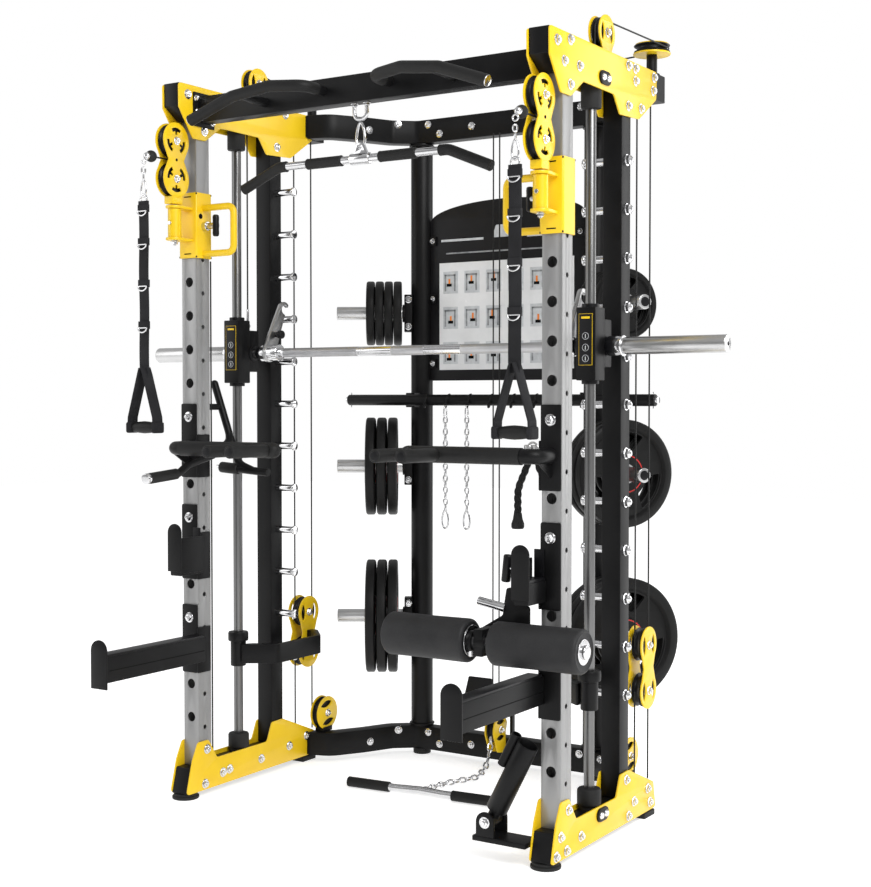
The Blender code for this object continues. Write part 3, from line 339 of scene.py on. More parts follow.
class Shape:
    """One piece, gathered from many simple solids that each carry a finish.

    The drawing methods multiply every X by side, so the two pieces of a pair are written once,
    with the numbers of the right one. A matrix or a turn works on the result of that.
    """

    def __init__(self, name, side=1.0):
        self.name, self.side = name, side
        self.bm = bmesh.new()
        self.finishes = []

    def at(self, point):
        return Vector((self.side * point[0], point[1], point[2]))

    def take(self, part, finish):
        """Add a finished bmesh to the piece."""
        if finish not in self.finishes:
            self.finishes.append(finish)
        bmesh.ops.recalc_face_normals(part, faces=part.faces)
        for face in part.faces:
            face.material_index = self.finishes.index(finish)
            face.smooth = True
        mesh = bpy.data.meshes.new("part")
        part.to_mesh(mesh)
        part.free()
        self.bm.from_mesh(mesh)
        bpy.data.meshes.remove(mesh)

    def box(self, x, y, z, finish, bevel=0.0015, turn=None, segments=2):
        part = bmesh.new()
        bmesh.ops.create_cube(part, size=1.0)
        size = [abs(b - a) for a, b in (x, y, z)]
        bmesh.ops.scale(part, vec=size, verts=part.verts)
        middle = self.at([(a + b) / 2 for a, b in (x, y, z)])
        bmesh.ops.translate(part, verts=part.verts, vec=middle)
        bmesh.ops.bevel(part, geom=part.edges[:], offset=min(bevel, 0.45 * min(size)),
                        segments=segments, profile=0.6, affect="EDGES")
        if turn is not None:
            bmesh.ops.transform(part, matrix=turn, verts=part.verts)
        self.take(part, finish)

    def lathe(self, profile, centre, axis, finish, steps=40):
        """Turn an open profile of (radius, height) about an axis through centre."""
        turn = self.at(axis).to_track_quat("Z", "Y").to_matrix().to_4x4()
        place = Matrix.Translation(self.at(centre)) @ turn
        rings = [[place @ Vector((radius * cos(tau * i / steps), radius * sin(tau * i / steps),
                                  height)) for i in range(steps if radius > 1e-7 else 1)]
                 for radius, height in profile]
        self.take(loft(rings), finish)

    def rod(self, start, end, radius, finish, edge=0.0012, steps=32):
        """Round bar with rounded ends."""
        start, end = Vector(start), Vector(end)
        length = (end - start).length
        edge = min(edge, radius * 0.8, length * 0.45)
        corner = [(radius - edge + edge * sin(a), edge - edge * cos(a))
                  for a in (0.0, 0.52, 1.05, pi / 2)]
        profile = [(0.0, 0.0)] + corner
        profile += [(r, length - h) for r, h in reversed(corner)] + [(0.0, length)]
        self.lathe(profile, start, end - start, finish, steps)

    def rods(self, axis, line, *rows):
        """Rods along an axis on one line; each row has two ends, a radius, a finish and so on."""
        i = "XYZ".index(axis)
        for low, high, *look in rows:
            self.rod(line[:i] + (low,) + line[i:], line[:i] + (high,) + line[i:], *look)

    def sweep(self, route, section, finish, closed=False, up=None):
        """Carry a closed section along a route, turning it as little as possible."""
        route = [self.at(point) for point in route]
        count = len(route)
        rings, side = [], None
        for i, point in enumerate(route):
            before = route[i - 1] if i or closed else point
            after = route[(i + 1) % count] if i < count - 1 or closed else point
            way = (after - before).normalized()
            if side is None:
                side = Vector(up) if up else way.orthogonal()
            side = (side - way * side.dot(way)).normalized()
            other = way.cross(side)
            rings.append([point + side * u + other * v for u, v in section])
        self.take(loft(rings, "joined" if closed else "capped"), finish)

    def tube(self, route, radius, finish, sides=20, closed=False):
        section = [(radius * cos(tau * i / sides), radius * sin(tau * i / sides))
                   for i in range(sides)]
        self.sweep(route, section, finish, closed)

    def ball(self, centre, radius, finish):
        inner = [(radius * sin(pi * i / 12), -radius * cos(pi * i / 12)) for i in range(1, 12)]
        self.lathe([(0.0, -radius)] + inner + [(0.0, radius)], centre, UP, finish, 24)

    def plate(self, outline, holes, axis, low, high, finish, bevel=0.0008, matrix=None):
        """Sheet cut to an outline with holes, with its edges broken."""
        curve = bpy.data.curves.new("cut", "CURVE")
        curve.dimensions = "2D"
        curve.fill_mode = "BOTH"
        curve.extrude = abs(high - low) / 2 - bevel
        curve.bevel_depth = bevel
        curve.bevel_resolution = 1
        curve.offset = -bevel
        flip, depth = (1.0, self.side) if axis == "X" else (self.side, 1.0)
        for loop in [outline] + list(holes):
            spline = curve.splines.new("POLY")
            spline.points.add(len(loop) - 1)
            for point, (u, v) in zip(spline.points, loop):
                point.co = (flip * u, v, 0.0, 1.0)
            spline.use_cyclic_u = True
        drawn = bpy.data.objects.new("cut", curve)
        bpy.context.scene.collection.objects.link(drawn)
        graph = bpy.context.evaluated_depsgraph_get()
        mesh = bpy.data.meshes.new_from_object(drawn.evaluated_get(graph))
        bpy.data.objects.remove(drawn, do_unlink=True)
        bpy.data.curves.remove(curve)
        part = bmesh.new()
        part.from_mesh(mesh)
        bpy.data.meshes.remove(mesh)
        bmesh.ops.remove_doubles(part, verts=part.verts, dist=1e-6)
        matrix = matrix or plane(axis, depth * (low + high) / 2)
        bmesh.ops.transform(part, matrix=matrix, verts=part.verts)
        self.take(part, finish)

    def bolt(self, centre, way, size=0.0105):
        """Chrome hexagon head on a washer, with its face turned along way."""
        way, start = Vector(way).normalized(), Vector(centre)
        self.rod(start, start + way * 0.002, size * 1.45, "chrome", 0.0006, 24)
        self.lathe(((0.0, 0.002), (size * 1.12, 0.002), (size * 1.12, 0.0075),
                    (size * 0.92, 0.009), (0.0, 0.009)), start, way, "chrome", 6)
        self.rod(start + way * 0.008, start + way * 0.0125, size * 0.55, "chrome", 0.001, 12)

    def place(self, body, *nodes):
        """Turn the gathered solids into a piece on a body, standing for some CAD nodes."""
        mesh = bpy.data.meshes.new(self.name)
        self.bm.to_mesh(mesh)
        self.bm.free()
        mesh.transform(TO_ROW)
        for finish in self.finishes:
            mesh.materials.append(MAT[finish])
        mesh.set_sharp_from_angle(angle=SHARP_ANGLE)
        obj = bpy.data.objects.new(self.name, mesh)
        bpy.context.scene.collection.objects.link(obj)
        if nodes:
            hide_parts(*nodes)
        if body:
            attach(obj, body)
        return obj


# ---------------------------------------------------------------- frame

BOTTOM_GUSSET = ((-0.061, 0.0175), (-0.034, 0.121), (-0.008, 0.174), (0.041, 0.174),
                 (0.082, 0.110), (0.333, 0.110), (0.359, 0.170), (0.416, 0.172),
                 (0.589, 0.101), (0.605, 0.0205))
TOP_GUSSET = ((-0.081, 2.2195), (-0.080, 2.145), (-0.017, 2.056), (0.040, 2.056),
              (0.113, 2.107), (0.301, 2.106), (0.341, 2.056), (0.468, 2.062),
              (0.587, 2.138), (0.591, 2.2195))
BOTTOM_BOLTS = ((0.033, 0.146), (-0.011, 0.083), (0.108, 0.056), (-0.036, 0.036), (0.023, 0.038),
                (0.396, 0.148), (0.449, 0.073), (0.412, 0.039), (0.545, 0.090), (0.560, 0.046))
TOP_BOLTS = ((-0.042, 2.188), (0.032, 2.203), (-0.002, 2.141), (0.086, 2.144), (0.033, 2.085),
             (0.392, 2.202), (0.438, 2.202), (0.440, 2.167), (0.568, 2.200), (0.562, 2.160),
             (0.393, 2.088), (0.478, 2.094))


def front_upright(label, side):
    """Silver tube with the row of hole cut-outs in front and small holes in its sides."""
    shape = Shape("front_tube_" + label, side)
    width, ends = thick(SIDE_X, HALF), (BASE_TOP, BEAM_LOW)
    heights = [HOLE_Z + HOLE_PITCH * i for i in range(HOLE_COUNT)]
    holes = [ring_of((SIDE_X, z), HOLE_R, 0, 350, 35) for z in heights]
    shape.plate(rect(width, ends), holes, "Y", 0.0, 0.003, "silver")
    small = [ring_of((HALF, z - 0.034), 0.007, 0, 345, 23) for z in heights]
    for x in (SIDE_X - HALF, SIDE_X + HALF - 0.003):
        shape.plate(rect((0.003, 0.0595), ends), small, "X", x, x + 0.003, "silver")
    shape.box(width, (0.057, 0.060), ends, "silver")
    shape.place("frame", "front_upright_" + label)


def rear_upright(label, side):
    """Black tube with its chrome catch pegs, their inner heads and outer domes."""
    shape = Shape("rear_tube_" + label, side)
    shape.box(thick(SIDE_X, HALF), (REAR_UPRIGHT_Y, REAR_UPRIGHT_Y + 2 * HALF),
              (BASE_TOP, BEAM_LOW), "black", 0.004)
    washer = ((0.0, 0.0), (0.0165, 0.0), (0.0165, 0.003), (0.0, 0.003))
    nut = ((0.0, 0.003), (0.015, 0.003), (0.015, 0.012), (0.0125, 0.0135), (0.0, 0.0135))
    dome = ((0.0, 0.013), (0.0105, 0.013), (0.0085, 0.018), (0.004, 0.0205), (0.0, 0.021))
    for i in range(PEG_COUNT):
        z = PEG_Z + PEG_PITCH * i
        shape.rods("X", (PEG_Y, z), (0.612, 0.539, PEG_R, "chrome", 0.0012, 24),
                   (0.5405, PEG_TIP_X, PEG_HEAD_R, "chrome", 0.003, 24))
        for profile, steps in ((washer, 24), (nut, 6), (dome, 24)):
            shape.lathe(profile, (0.6695, PEG_Y, z), OUT, "chrome", steps)
    shape.place("frame", "rear_upright_" + label)


def gusset(shape, outline, bolts, inner, way):
    """Yellow side plate with its bolts on the face that looks along way."""
    shape.plate(fillet(outline, 0.012), [], "X", inner, inner + PLATE_T, "yellow", 0.001)
    for y, z in bolts:
        shape.bolt((inner + (PLATE_T if way > 0 else 0.0), y, z), (way, 0, 0), 0.0104)


def outer_gussets(label, side):
    for level, outline, bolts, z in (("bottom", BOTTOM_GUSSET, BOTTOM_BOLTS, 0.086),
                                     ("top", TOP_GUSSET, TOP_BOLTS, 2.139)):
        shape = Shape("%s_side_plate_%s" % (level, label), side)
        gusset(shape, outline, bolts, OUTER_X, 1)
        face = OUTER_X + PLATE_T
        pad = ring_of((0.253, z), 0.019, -90, 90, 12) + ring_of((0.223, z), 0.019, 90, 270, 12)
        shape.plate(pad, [], "X", face - 0.0005, face + 0.006, "black", 0.0015)
        for y in (0.223, 0.253):
            shape.lathe(((0.0, 0.0), (0.0105, 0.0), (0.0105, 0.002), (0.0075, 0.006),
                         (0.0, 0.0075)), (face + 0.0058, y, z), OUT, "chrome", 24)
        shape.place("frame", "%s_gusset_%s" % (level, label))


def base_beam(label, side):
    shape = Shape("foot_beam_" + label, side)
    outline = ((-0.0585, BASE_LOW), (-0.0375, BASE_TOP), (0.600, BASE_TOP), (0.600, BASE_LOW))
    shape.plate(fillet(outline, 0.004), [], "X", *thick(SIDE_X, HALF), "black", 0.002)
    gusset(shape, BOTTOM_GUSSET, BOTTOM_BOLTS[::2] + ((0.300, 0.060), (0.140, 0.060)), INNER_X,
           -1)
    shape.rods("Z", (SIDE_X, -0.028), (0.0, 0.010, 0.042, "rubber", 0.003, 48),
               (0.008, BASE_LOW, 0.037, "rubber", 0.002, 48))
    shape.box(thick(SIDE_X, 0.036), (0.525, 0.598), (0.0, BASE_LOW), "rubber", 0.003)
    if side > 0:
        landmine_foot(shape)
    shape.place("frame", "base_beam_" + label)


def landmine_foot(shape):
    shape.box((0.440, INNER_X), thick(MINE_Y, 0.0385), (0.054, 0.069), "black", 0.003)
    ear = [(MINE_X + 0.028, 0.069)] + ring_of((MINE_X, MINE_Z), 0.028, 0, 180, 24)
    ear.append((MINE_X - 0.028, 0.069))
    for way, low in ((-1, MINE_Y - 0.0385), (1, MINE_Y + 0.0325)):
        shape.plate(ear, [], "Y", low, low + 0.006, "black")
        shape.bolt((MINE_X, MINE_Y + way * 0.0385, MINE_Z), (0, way, 0), 0.011)


def t_slots(centre, radius, turn):
    """Three T-shaped cut-outs round a hub: an arc with a stem that points at the hub."""
    slots = []
    for middle in (turn, turn + 120, turn + 240):
        slots.append(ring_of(centre, radius * 0.72, middle - 32, middle + 32, 10)
                     + ring_of(centre, radius * 0.52, middle + 32, middle + 9, 4)
                     + ring_of(centre, radius * 0.34, middle + 13, middle - 13, 1)
                     + ring_of(centre, radius * 0.52, middle - 9, middle - 32, 4))
    return slots


def lens_slots(centre, radius, turn):
    """Two lens-shaped cut-outs on opposite sides of a hub."""
    slots = []
    for a in (radians(turn), radians(turn + 180)):
        loop = []
        for sign in (1, -1):
            for t in (-1.0, -0.75, -0.5, -0.25, 0.0, 0.25, 0.5, 0.75):
                u, v = radius * (0.56 + sign * 0.19 * (1 - t * t)), radius * 0.56 * t * sign
                loop.append((centre[0] + u * cos(a) - v * sin(a),
                             centre[1] + u * sin(a) + v * cos(a)))
        slots.append(loop)
    return slots


def wheel(shape, centre, axis, radius, bore=0.008, washers=True):
    """Grooved nylon wheel, 22 mm wide, with a pressed hub between two steel washers."""
    half, groove = 0.011, radius - 0.009
    side = ((bore, half - 0.001), (bore + 0.009, half), (radius * 0.45, half),
            (radius * 0.50, half - 0.003), (radius * 0.74, half - 0.003),
            (radius * 0.79, half - 0.0004), (radius - 0.0012, half - 0.0004),
            (radius, half - 0.0016), (radius - 0.0006, half - 0.0035), (groove + 0.001, 0.0042),
            (groove, 0.0025))
    shape.lathe(mirrored(side), centre, axis, "plastic", 56)
    for h in (-0.0118, 0.0098) if washers else ():
        start = Vector(centre) + Vector(axis) * h
        shape.rod(start, start + Vector(axis) * 0.002, 0.0145, "steel", 0.0005, 28)


def pulley_cheeks(shape, x, outline, circles, offsets, reach, bolt_size=0.009, cut=lens_slots):
    """A pair of slotted plates across X on both sides of pulley wheels, bolted through."""
    slots = [slot for y, z, radius, turn in circles for slot in cut((y, z), radius, turn)]
    for offset in offsets:
        shape.plate(outline, slots, "X", x + offset, x + offset + 0.004, "yellow")
    for y, z, _, _ in circles:
        for way in (1, -1):
            shape.bolt((x + way * reach, y, z), (way, 0, 0), bolt_size)


def figure_eight(y, heights, radius):
    """Outline of two discs joined by a waist, in the YZ plane."""
    (low, high), waist = heights, 0.60 * radius
    middle = (low + high) / 2
    return (ring_of((y, low), radius, 146, 394, 40) + [(y + waist, middle)]
            + ring_of((y, high), radius, -34, 214, 40) + [(y - waist, middle)])


def top_beam(label, side):
    """Top tube with its inner side plate, the upright pulley and the flat pulley on its post."""
    shape = Shape("head_beam_" + label, side)
    outline = ((-0.0775, BEAM_TOP), (-0.0765, 2.150), (-0.018, 2.112), (-0.0003, 2.112),
               (-0.0003, BEAM_LOW), (0.660, BEAM_LOW), (0.660, BEAM_TOP))
    shape.plate(fillet(outline, 0.004), [], "X", *thick(SIDE_X, HALF), "black", 0.002)
    gusset(shape, TOP_GUSSET, TOP_BOLTS[::2], INNER_X, -1)
    y, z, foot = TOP_PULLEY_Y, TOP_PULLEY_Z, BEAM_TOP - 0.001
    teardrop = [(y - 0.022, foot), (y + 0.022, foot)] + ring_of((y, z), 0.050, -44, 224, 40)
    pulley_cheeks(shape, SMITH_CABLE_X, teardrop, [(y, z, 0.050, 0)], (-0.018, 0.014), 0.018,
                  0.0095)
    wheel(shape, (SMITH_CABLE_X, y, z), OUT, 0.046)
    shape.rods("Z", (SIDE_X, POST_Y), (BEAM_TOP - 0.002, POST_TOP, 0.016, "black"),
               (BEAM_TOP, BEAM_TOP + 0.006, 0.024, "black"),
               (POST_TOP - 0.001, POST_TOP + 0.004, 0.056, "yellow", 0.001, 56),
               (POST_TOP + 0.0285, POST_TOP + 0.0315, 0.050, "yellow", 0.001, 56))
    wheel(shape, (SIDE_X, POST_Y, POST_TOP + 0.017), UP, 0.054)
    shape.bolt((SIDE_X, POST_Y, POST_TOP + 0.0315), UP, 0.011)
    shape.box(thick(SIDE_X, 0.0304), (0.656, 0.6605), (BEAM_LOW + 0.001, BEAM_TOP - 0.001),
              "plastic", 0.0015)
    shape.place("frame", "top_beam_" + label)


def guide_rod(label, side):
    shape = Shape("guide_shaft_" + label, side)
    shape.rod((SIDE_X, ROD_Y, BASE_TOP), (SIDE_X, ROD_Y, BEAM_LOW), ROD_R, "shaft", steps=40)
    low = ((ROD_R, 0.0), (0.028, 0.0), (0.028, 0.012), (0.033, 0.015), (0.034, 0.018),
           (0.034, 0.055), (0.031, 0.060), (ROD_R, 0.0625))
    top = ((ROD_R, 0.0), (0.027, 0.002), (0.029, 0.005), (0.029, 0.078), (0.026, 0.084),
           (ROD_R, 0.085))
    for z, bumper in ((BASE_TOP, low), (2.055, top)):
        shape.lathe(bumper, (SIDE_X, ROD_Y, z), UP, "rubber", 40)
    shape.place("frame", "guide_rod_" + label)


def horn(side, height):
    """Root and direction of a plate horn."""
    return (Vector((side * COLUMN_X, COLUMN_Y, height)),
            Vector((side * cos(HORN_ANGLE), -sin(HORN_ANGLE), 0.0)))


def rear_column(label, side):
    """Black round column with three chrome horns on bolted blocks."""
    x = side * COLUMN_X
    shape = Shape("storage_column_" + label)
    shape.rod((x, COLUMN_Y, 0.100), (x, COLUMN_Y, BEAM_LOW), COLUMN_R, "black", steps=48)
    for spec in STACKS:
        start, way = horn(side, spec[1])
        across = Vector((-way.y, way.x, 0.0))
        place = Matrix.Translation(start) @ Matrix.Rotation(atan2(way.y, way.x), 4, "Z")
        shape.box((0.034, 0.062), (-0.026, 0.026), (-0.065, 0.065), "black", 0.003, place)
        for z in (-0.047, 0.047):
            for sign in (-1, 1):
                shape.bolt(start + way * 0.048 + across * sign * 0.0265 + Vector((0, 0, z)),
                           across * sign, 0.0085)
        for near, far, *look in ((0.058, HORN_REACH, HORN_R, "steel", 0.0025, 40),
                                 (0.060, 0.068, HORN_R + 0.008, "black", 0.002, 40),
                                 (HORN_REACH - 0.0004, HORN_REACH + 0.0002, 0.015, "plastic",
                                  0.0002, 32)):
            shape.rod(start + way * near, start + way * far, *look)
    for z in (0.104, BEAM_LOW - 0.010):
        shape.rod((x, COLUMN_Y, z), (x, COLUMN_Y, z + 0.006), COLUMN_R + 0.006, "black",
                  0.0015, 48)
    shape.place("frame", "rear_column_" + label)


def plate_slots(radius, thick_rim):
    """Three long hand openings between the hub and the rim of a weight plate."""
    return [fillet(ring_of((0, 0), radius * 0.775, middle - 30, middle + 30, 12)
                   + ring_of((0, 0), radius * 0.47, middle + 22, middle - 22, 6),
                   thick_rim * 0.4, 2) for middle in (90, 210, 330)]


def weight_plates(label, side, spec):
    """Rubber coated plates, each with a rim, a web with hand openings and a steel hub."""
    name, height, radius, count, inner, pitch, thick_rim = spec
    start, way = horn(side, height)
    shape = Shape("%s_discs_%s" % (name, label))
    turn = way.to_track_quat("Z", "Y").to_matrix().to_4x4()
    half, web, hub, bore = thick_rim / 2, min(0.012, thick_rim * 0.5), 0.26 * radius + 0.018, HORN_R
    rim = ((radius * 0.80, web / 2), (radius * 0.825, half * 0.75), (radius * 0.85, half),
           (radius * 0.965, half), (radius - 0.001, half * 0.80), (radius, half * 0.5))
    rims = [(r, -h) for r, h in rim] + [(r, h) for r, h in reversed(rim)]
    raised = ((bore + 0.0085, web * 0.4), (bore + 0.0085, half - 0.0006), (hub, half - 0.0006),
              (hub + 0.004, web / 2 - 0.0005))
    sleeve = ((bore + 0.0028, half * 0.4), (bore + 0.0028, half - 0.0002),
              (bore + 0.0085, half - 0.0002), (bore + 0.0085, half * 0.4))
    band = ((hub - 0.006, half - 0.0008), (hub - 0.006, half - 0.0001),
            (hub - 0.0025, half - 0.0001), (hub - 0.0025, half - 0.0008))
    faces = [(raised, "plate"), (sleeve, "steel")] + ([(band, "red")] if radius > 0.15 else [])
    openings = [ring_of((0, 0), bore + 0.004, 0, 345, 23)] + plate_slots(radius, thick_rim)
    for i in range(count):
        middle = start + way * (inner + pitch * i + half)
        shape.lathe(rims, middle, way, "plate", 72)
        shape.plate(ring_of((0, 0), radius * 0.83, 0, 355, 71), openings, "Z", -web / 2, web / 2,
                    "plate", 0.001, Matrix.Translation(middle) @ turn)
        for profile, finish in faces:
            for sign in (1, -1):
                shape.lathe([(r, sign * h) for r, h in profile], middle, way, finish, 48)
    shape.place("%s_plates_%s" % (name, label), "%s_plates_%s" % (name, label))


def rear_tie(name, low, high, node):
    """Flat bent tie from the side frames back to the columns, with its end plates and bolts."""
    half = 0.025
    path = ((0.6042, 0.578, 0.0), (0.540, 0.600, 0.0), (0.478, 0.700, 0.0), (0.428, 0.806, 0.0),
            (0.350, COLUMN_Y, 0.0), (-0.05, COLUMN_Y, 0.0))
    smooth = [p for p in rounded(path, 0.06, 6) if p.x > 0.0]
    front, back = [], []
    for i, point in enumerate(smooth):
        before, after = smooth[max(i - 1, 0)], smooth[min(i + 1, len(smooth) - 1)]
        run = (after - before).normalized() if i else Vector((-1.0, 0.0, 0.0))
        front.append((point.x - run.y * half, point.y + run.x * half))
        back.append((point.x + run.y * half, point.y - run.x * half))
    outline = front + [(-x, y) for x, y in reversed(front)]
    outline += [(-x, y) for x, y in back] + list(reversed(back))
    shape = Shape(name)
    shape.plate(outline, [], "Z", low, high, "black", 0.003)
    face = front + [(0.0, front[-1][1])]
    for _, shape.side in SIDES:
        shape.box((0.5990, 0.6042), (0.548, 0.606), (low + 0.004, high - 0.004), "black", 0.001)
        for x, z in ((0.394, 0.066), (0.448, 0.037), (0.296, 0.062), (0.249, 0.026),
                     (0.120, 0.040)):
            a, b = next((a, b) for a, b in zip(face, face[1:]) if b[0] <= x <= a[0])
            y = a[1] + (b[1] - a[1]) * (a[0] - x) / (a[0] - b[0])
            shape.bolt((x, y, low + z), (a[1] - b[1], b[0] - a[0], 0), 0.0092)
    if low < 1.0:
        low_pulleys(shape, COLUMN_Y - half, low)
    shape.place("frame", node)


def low_pulleys(shape, face, foot):
    """Feet, low row pulley and foot rest in the middle of the base tie, and its end pulleys."""
    y, z, r = face - 0.035, 0.135, 0.048
    cheek = [(y - 0.020, 0.062), (face, 0.050), (face, 0.125)] + ring_of((y, z), r, 20, 200, 30)
    pulley_cheeks(shape, 0.0, cheek, [(y, z, r, 90)], (-0.018, 0.014), 0.018)
    wheel(shape, (0.0, y, z), OUT, r - 0.003)
    rest = [(-0.078, 0.190), (0.078, 0.190), (0.044, 0.328), (-0.044, 0.328)]
    shape.plate(fillet(rest, 0.006), [], "Y", 0.700, 0.706, "black", 0.001)
    x, y, z, r = 0.575, 0.606, 0.163, 0.057
    for _, shape.side in SIDES:
        shape.rod((COLUMN_X, COLUMN_Y, 0.0), (COLUMN_X, COLUMN_Y, foot + 0.001), 0.031, "rubber",
                  0.003, 36)
        shape.box(thick(0.034, 0.005), (0.704, COLUMN_Y), (0.196, 0.214), "black", 0.001)
        shape.box(thick(0.034, 0.005), (COLUMN_Y - 0.018, COLUMN_Y), (0.098, 0.214), "black",
                  0.001)
        pulley_cheeks(shape, x, ring_of((y, z), r, 0, 354, 59), [(y, z, r, 100)],
                      (-0.016, 0.012), 0.016)
        wheel(shape, (x, y, z), OUT, r - 0.004)
        shape.box(thick(x, 0.018), thick(y, 0.026), (0.099, 0.116), "black", 0.003)


def sign_panel():
    """Black sheet with an arched top, a plain emblem and a printed sheet of small drawings."""
    edge, foot, shoulder, crown = COLUMN_X - COLUMN_R - 0.001, 1.315, 1.865, 0.065
    outline = [(-edge, foot), (edge, foot)] + [
        (edge * cos(radians(a)), shoulder + crown * sin(radians(a))) for a in range(0, 181, 6)]
    shape = Shape("notice_board")
    shape.plate(fillet(outline, 0.006, 2), [], "Y", *thick(COLUMN_Y, 0.004), "sheet", 0.001)
    face = COLUMN_Y - 0.004
    shape.box((-0.262, 0.262), (face - 0.0012, face + 0.001), (1.352, 1.722), "paper", 0.0004)
    for number in range(18):
        row, column = divmod(number, 6)
        tile(shape, -0.246 + column * 0.086, 1.372 + row * 0.122, face - 0.0012, number)
    arch = [(-0.050, 1.800), (0.050, 1.800), (0.036, 1.842), (-0.036, 1.842)]
    shape.plate(fillet(arch, 0.008), [], "Y", face - 0.001, face + 0.001, "ink_pale", 0.0003)
    for x, z, finish in (((-0.255, -0.085), (1.795, 1.803), "ink_pale"),
                         ((0.085, 0.255), (1.795, 1.803), "ink_pale"),
                         ((-0.235, 0.235), (1.752, 1.757), "ink_grey")):
        shape.box(x, (face - 0.001, face + 0.001), z, finish, 0.0003)
    for _, shape.side in SIDES:
        for z in (1.375, 1.600, 1.800):
            shape.box((edge - 0.024, edge + 0.012), (COLUMN_Y - 0.010, COLUMN_Y - 0.004),
                      thick(z, 0.016), "black", 0.001)
            shape.bolt((edge - 0.012, COLUMN_Y - 0.010, z), (0, -1, 0), 0.0065)
    shape.place("frame", "sign_panel")


def tile(shape, x, z, face, number):
    """A tile with a plain block drawing of a rack and a bench, different in each tile."""
    wide, top = 0.060, z + 0.066
    shape.box((x, x + wide), (face - 0.001, face + 0.0005), (z, z + 0.076), "ink_pale", 0.0003)
    seat, left = z + 0.012 + 0.006 * (number % 5), x + wide * (0.24 + 0.05 * (number % 4))
    for low, high, foot, head, finish in (
            (x + 0.006, x + 0.012, z + 0.008, top, "ink_grey"),
            (x + 0.0444, x + 0.0504, z + 0.008, top, "ink_grey"),
            (x + 0.006, x + 0.0504, top - 0.006, top, "ink_grey"),
            (left, left + wide * 0.34, seat, seat + 0.010, "dark"),
            (left + wide * 0.12, left + wide * 0.24, seat + 0.010,
             seat + 0.026 + 0.003 * (number % 3), "orange")):
        shape.box((low, high), (face - 0.0016, face), (foot, head), finish, 0.0003)


def chain(shape, route, pitch=0.0190, wire=0.0025):
    """Welded chrome links along a route, each turned a quarter against the last."""
    points = [Vector(p) for p in route]
    lengths = [(b - a).length for a, b in zip(points, points[1:])]
    total, count = sum(lengths), int(sum(lengths) / pitch)
    for i in range(count):
        along, k = (i + 0.5) * total / count, 0
        while k < len(lengths) - 1 and along > lengths[k]:
            along -= lengths[k]
            k += 1
        way = (points[k + 1] - points[k]).normalized()
        centre = points[k] + way * along
        side = way.orthogonal().normalized()
        if i % 2:
            side = way.cross(side).normalized()
        half, r = pitch * 0.42, pitch * 0.32
        loop = [centre + (way * (half * 0.55 + r * sin(a)) + side * r * cos(a)) * sign
                for sign in (1, -1) for a in (0, 0.79, 1.57, 2.36, 3.14)]
        shape.tube(loop, wire, "chrome", 8, closed=True)


def snap_hook(shape, top, way=(0, 0, -1), size=0.055, side=(1, 0, 0)):
    """Pear-shaped spring hook."""
    top, way, side = Vector(top), Vector(way).normalized(), Vector(side).normalized()
    loop = []
    for i in range(24):
        a = tau * i / 24
        reach = 0.5 - 0.5 * cos(a)
        wide = 0.20 * sin(a) * (0.75 + 0.45 * reach)
        loop.append(top + way * size * reach + side * size * wide)
    shape.tube(loop, size * 0.055, "chrome", 12, closed=True)


def storage_bar():
    """Black bar with hooks, end pins with clips, two chains and its column brackets."""
    y, z = STORE_BAR_Y, STORE_BAR_Z
    shape = Shape("accessory_rail")
    shape.rod((-0.590, y, z), (0.590, y, z), STORE_BAR_R, "black", 0.002, 40)
    for _, shape.side in SIDES:
        shape.box(thick(COLUMN_X, 0.018), (y + 0.008, COLUMN_Y - COLUMN_R - 0.0003),
                  thick(z, 0.025), "black", 0.002)
        shape.rod((0.588, y, z), (0.600, y, z), 0.0125, "chrome", 0.002, 28)
        shape.tube([(0.582, y, z + h) for h in (0.018, 0.026, -0.026, -0.018)], 0.002, "chrome",
                   10)
    for i in range(9):
        x = -0.340 + 0.085 * i
        if abs(abs(x) - COLUMN_X) > 0.03:        # the columns stand in the way of the end hooks
            hook = [(x, y + u, z + v) for u, v in (
                (0.0, STORE_BAR_R), (-0.012, STORE_BAR_R - 0.002), (-STORE_BAR_R - 0.003, -0.006),
                (-0.024, -0.022), (-0.032, -0.025), (-0.030, -0.010))]
            shape.tube(rounded(hook, 0.010, 4), 0.0035, "black", 12)
    y -= 0.029
    for x in (-0.170, -0.085):
        snap_hook(shape, (x, y, z - 0.016), size=0.045, side=(0, 1, 0))
        chain(shape, [(x, y, z - 0.058), (x, y, 0.872)])
        snap_hook(shape, (x, y, 0.874), size=0.062)
    shape.place("frame", "storage_bar")


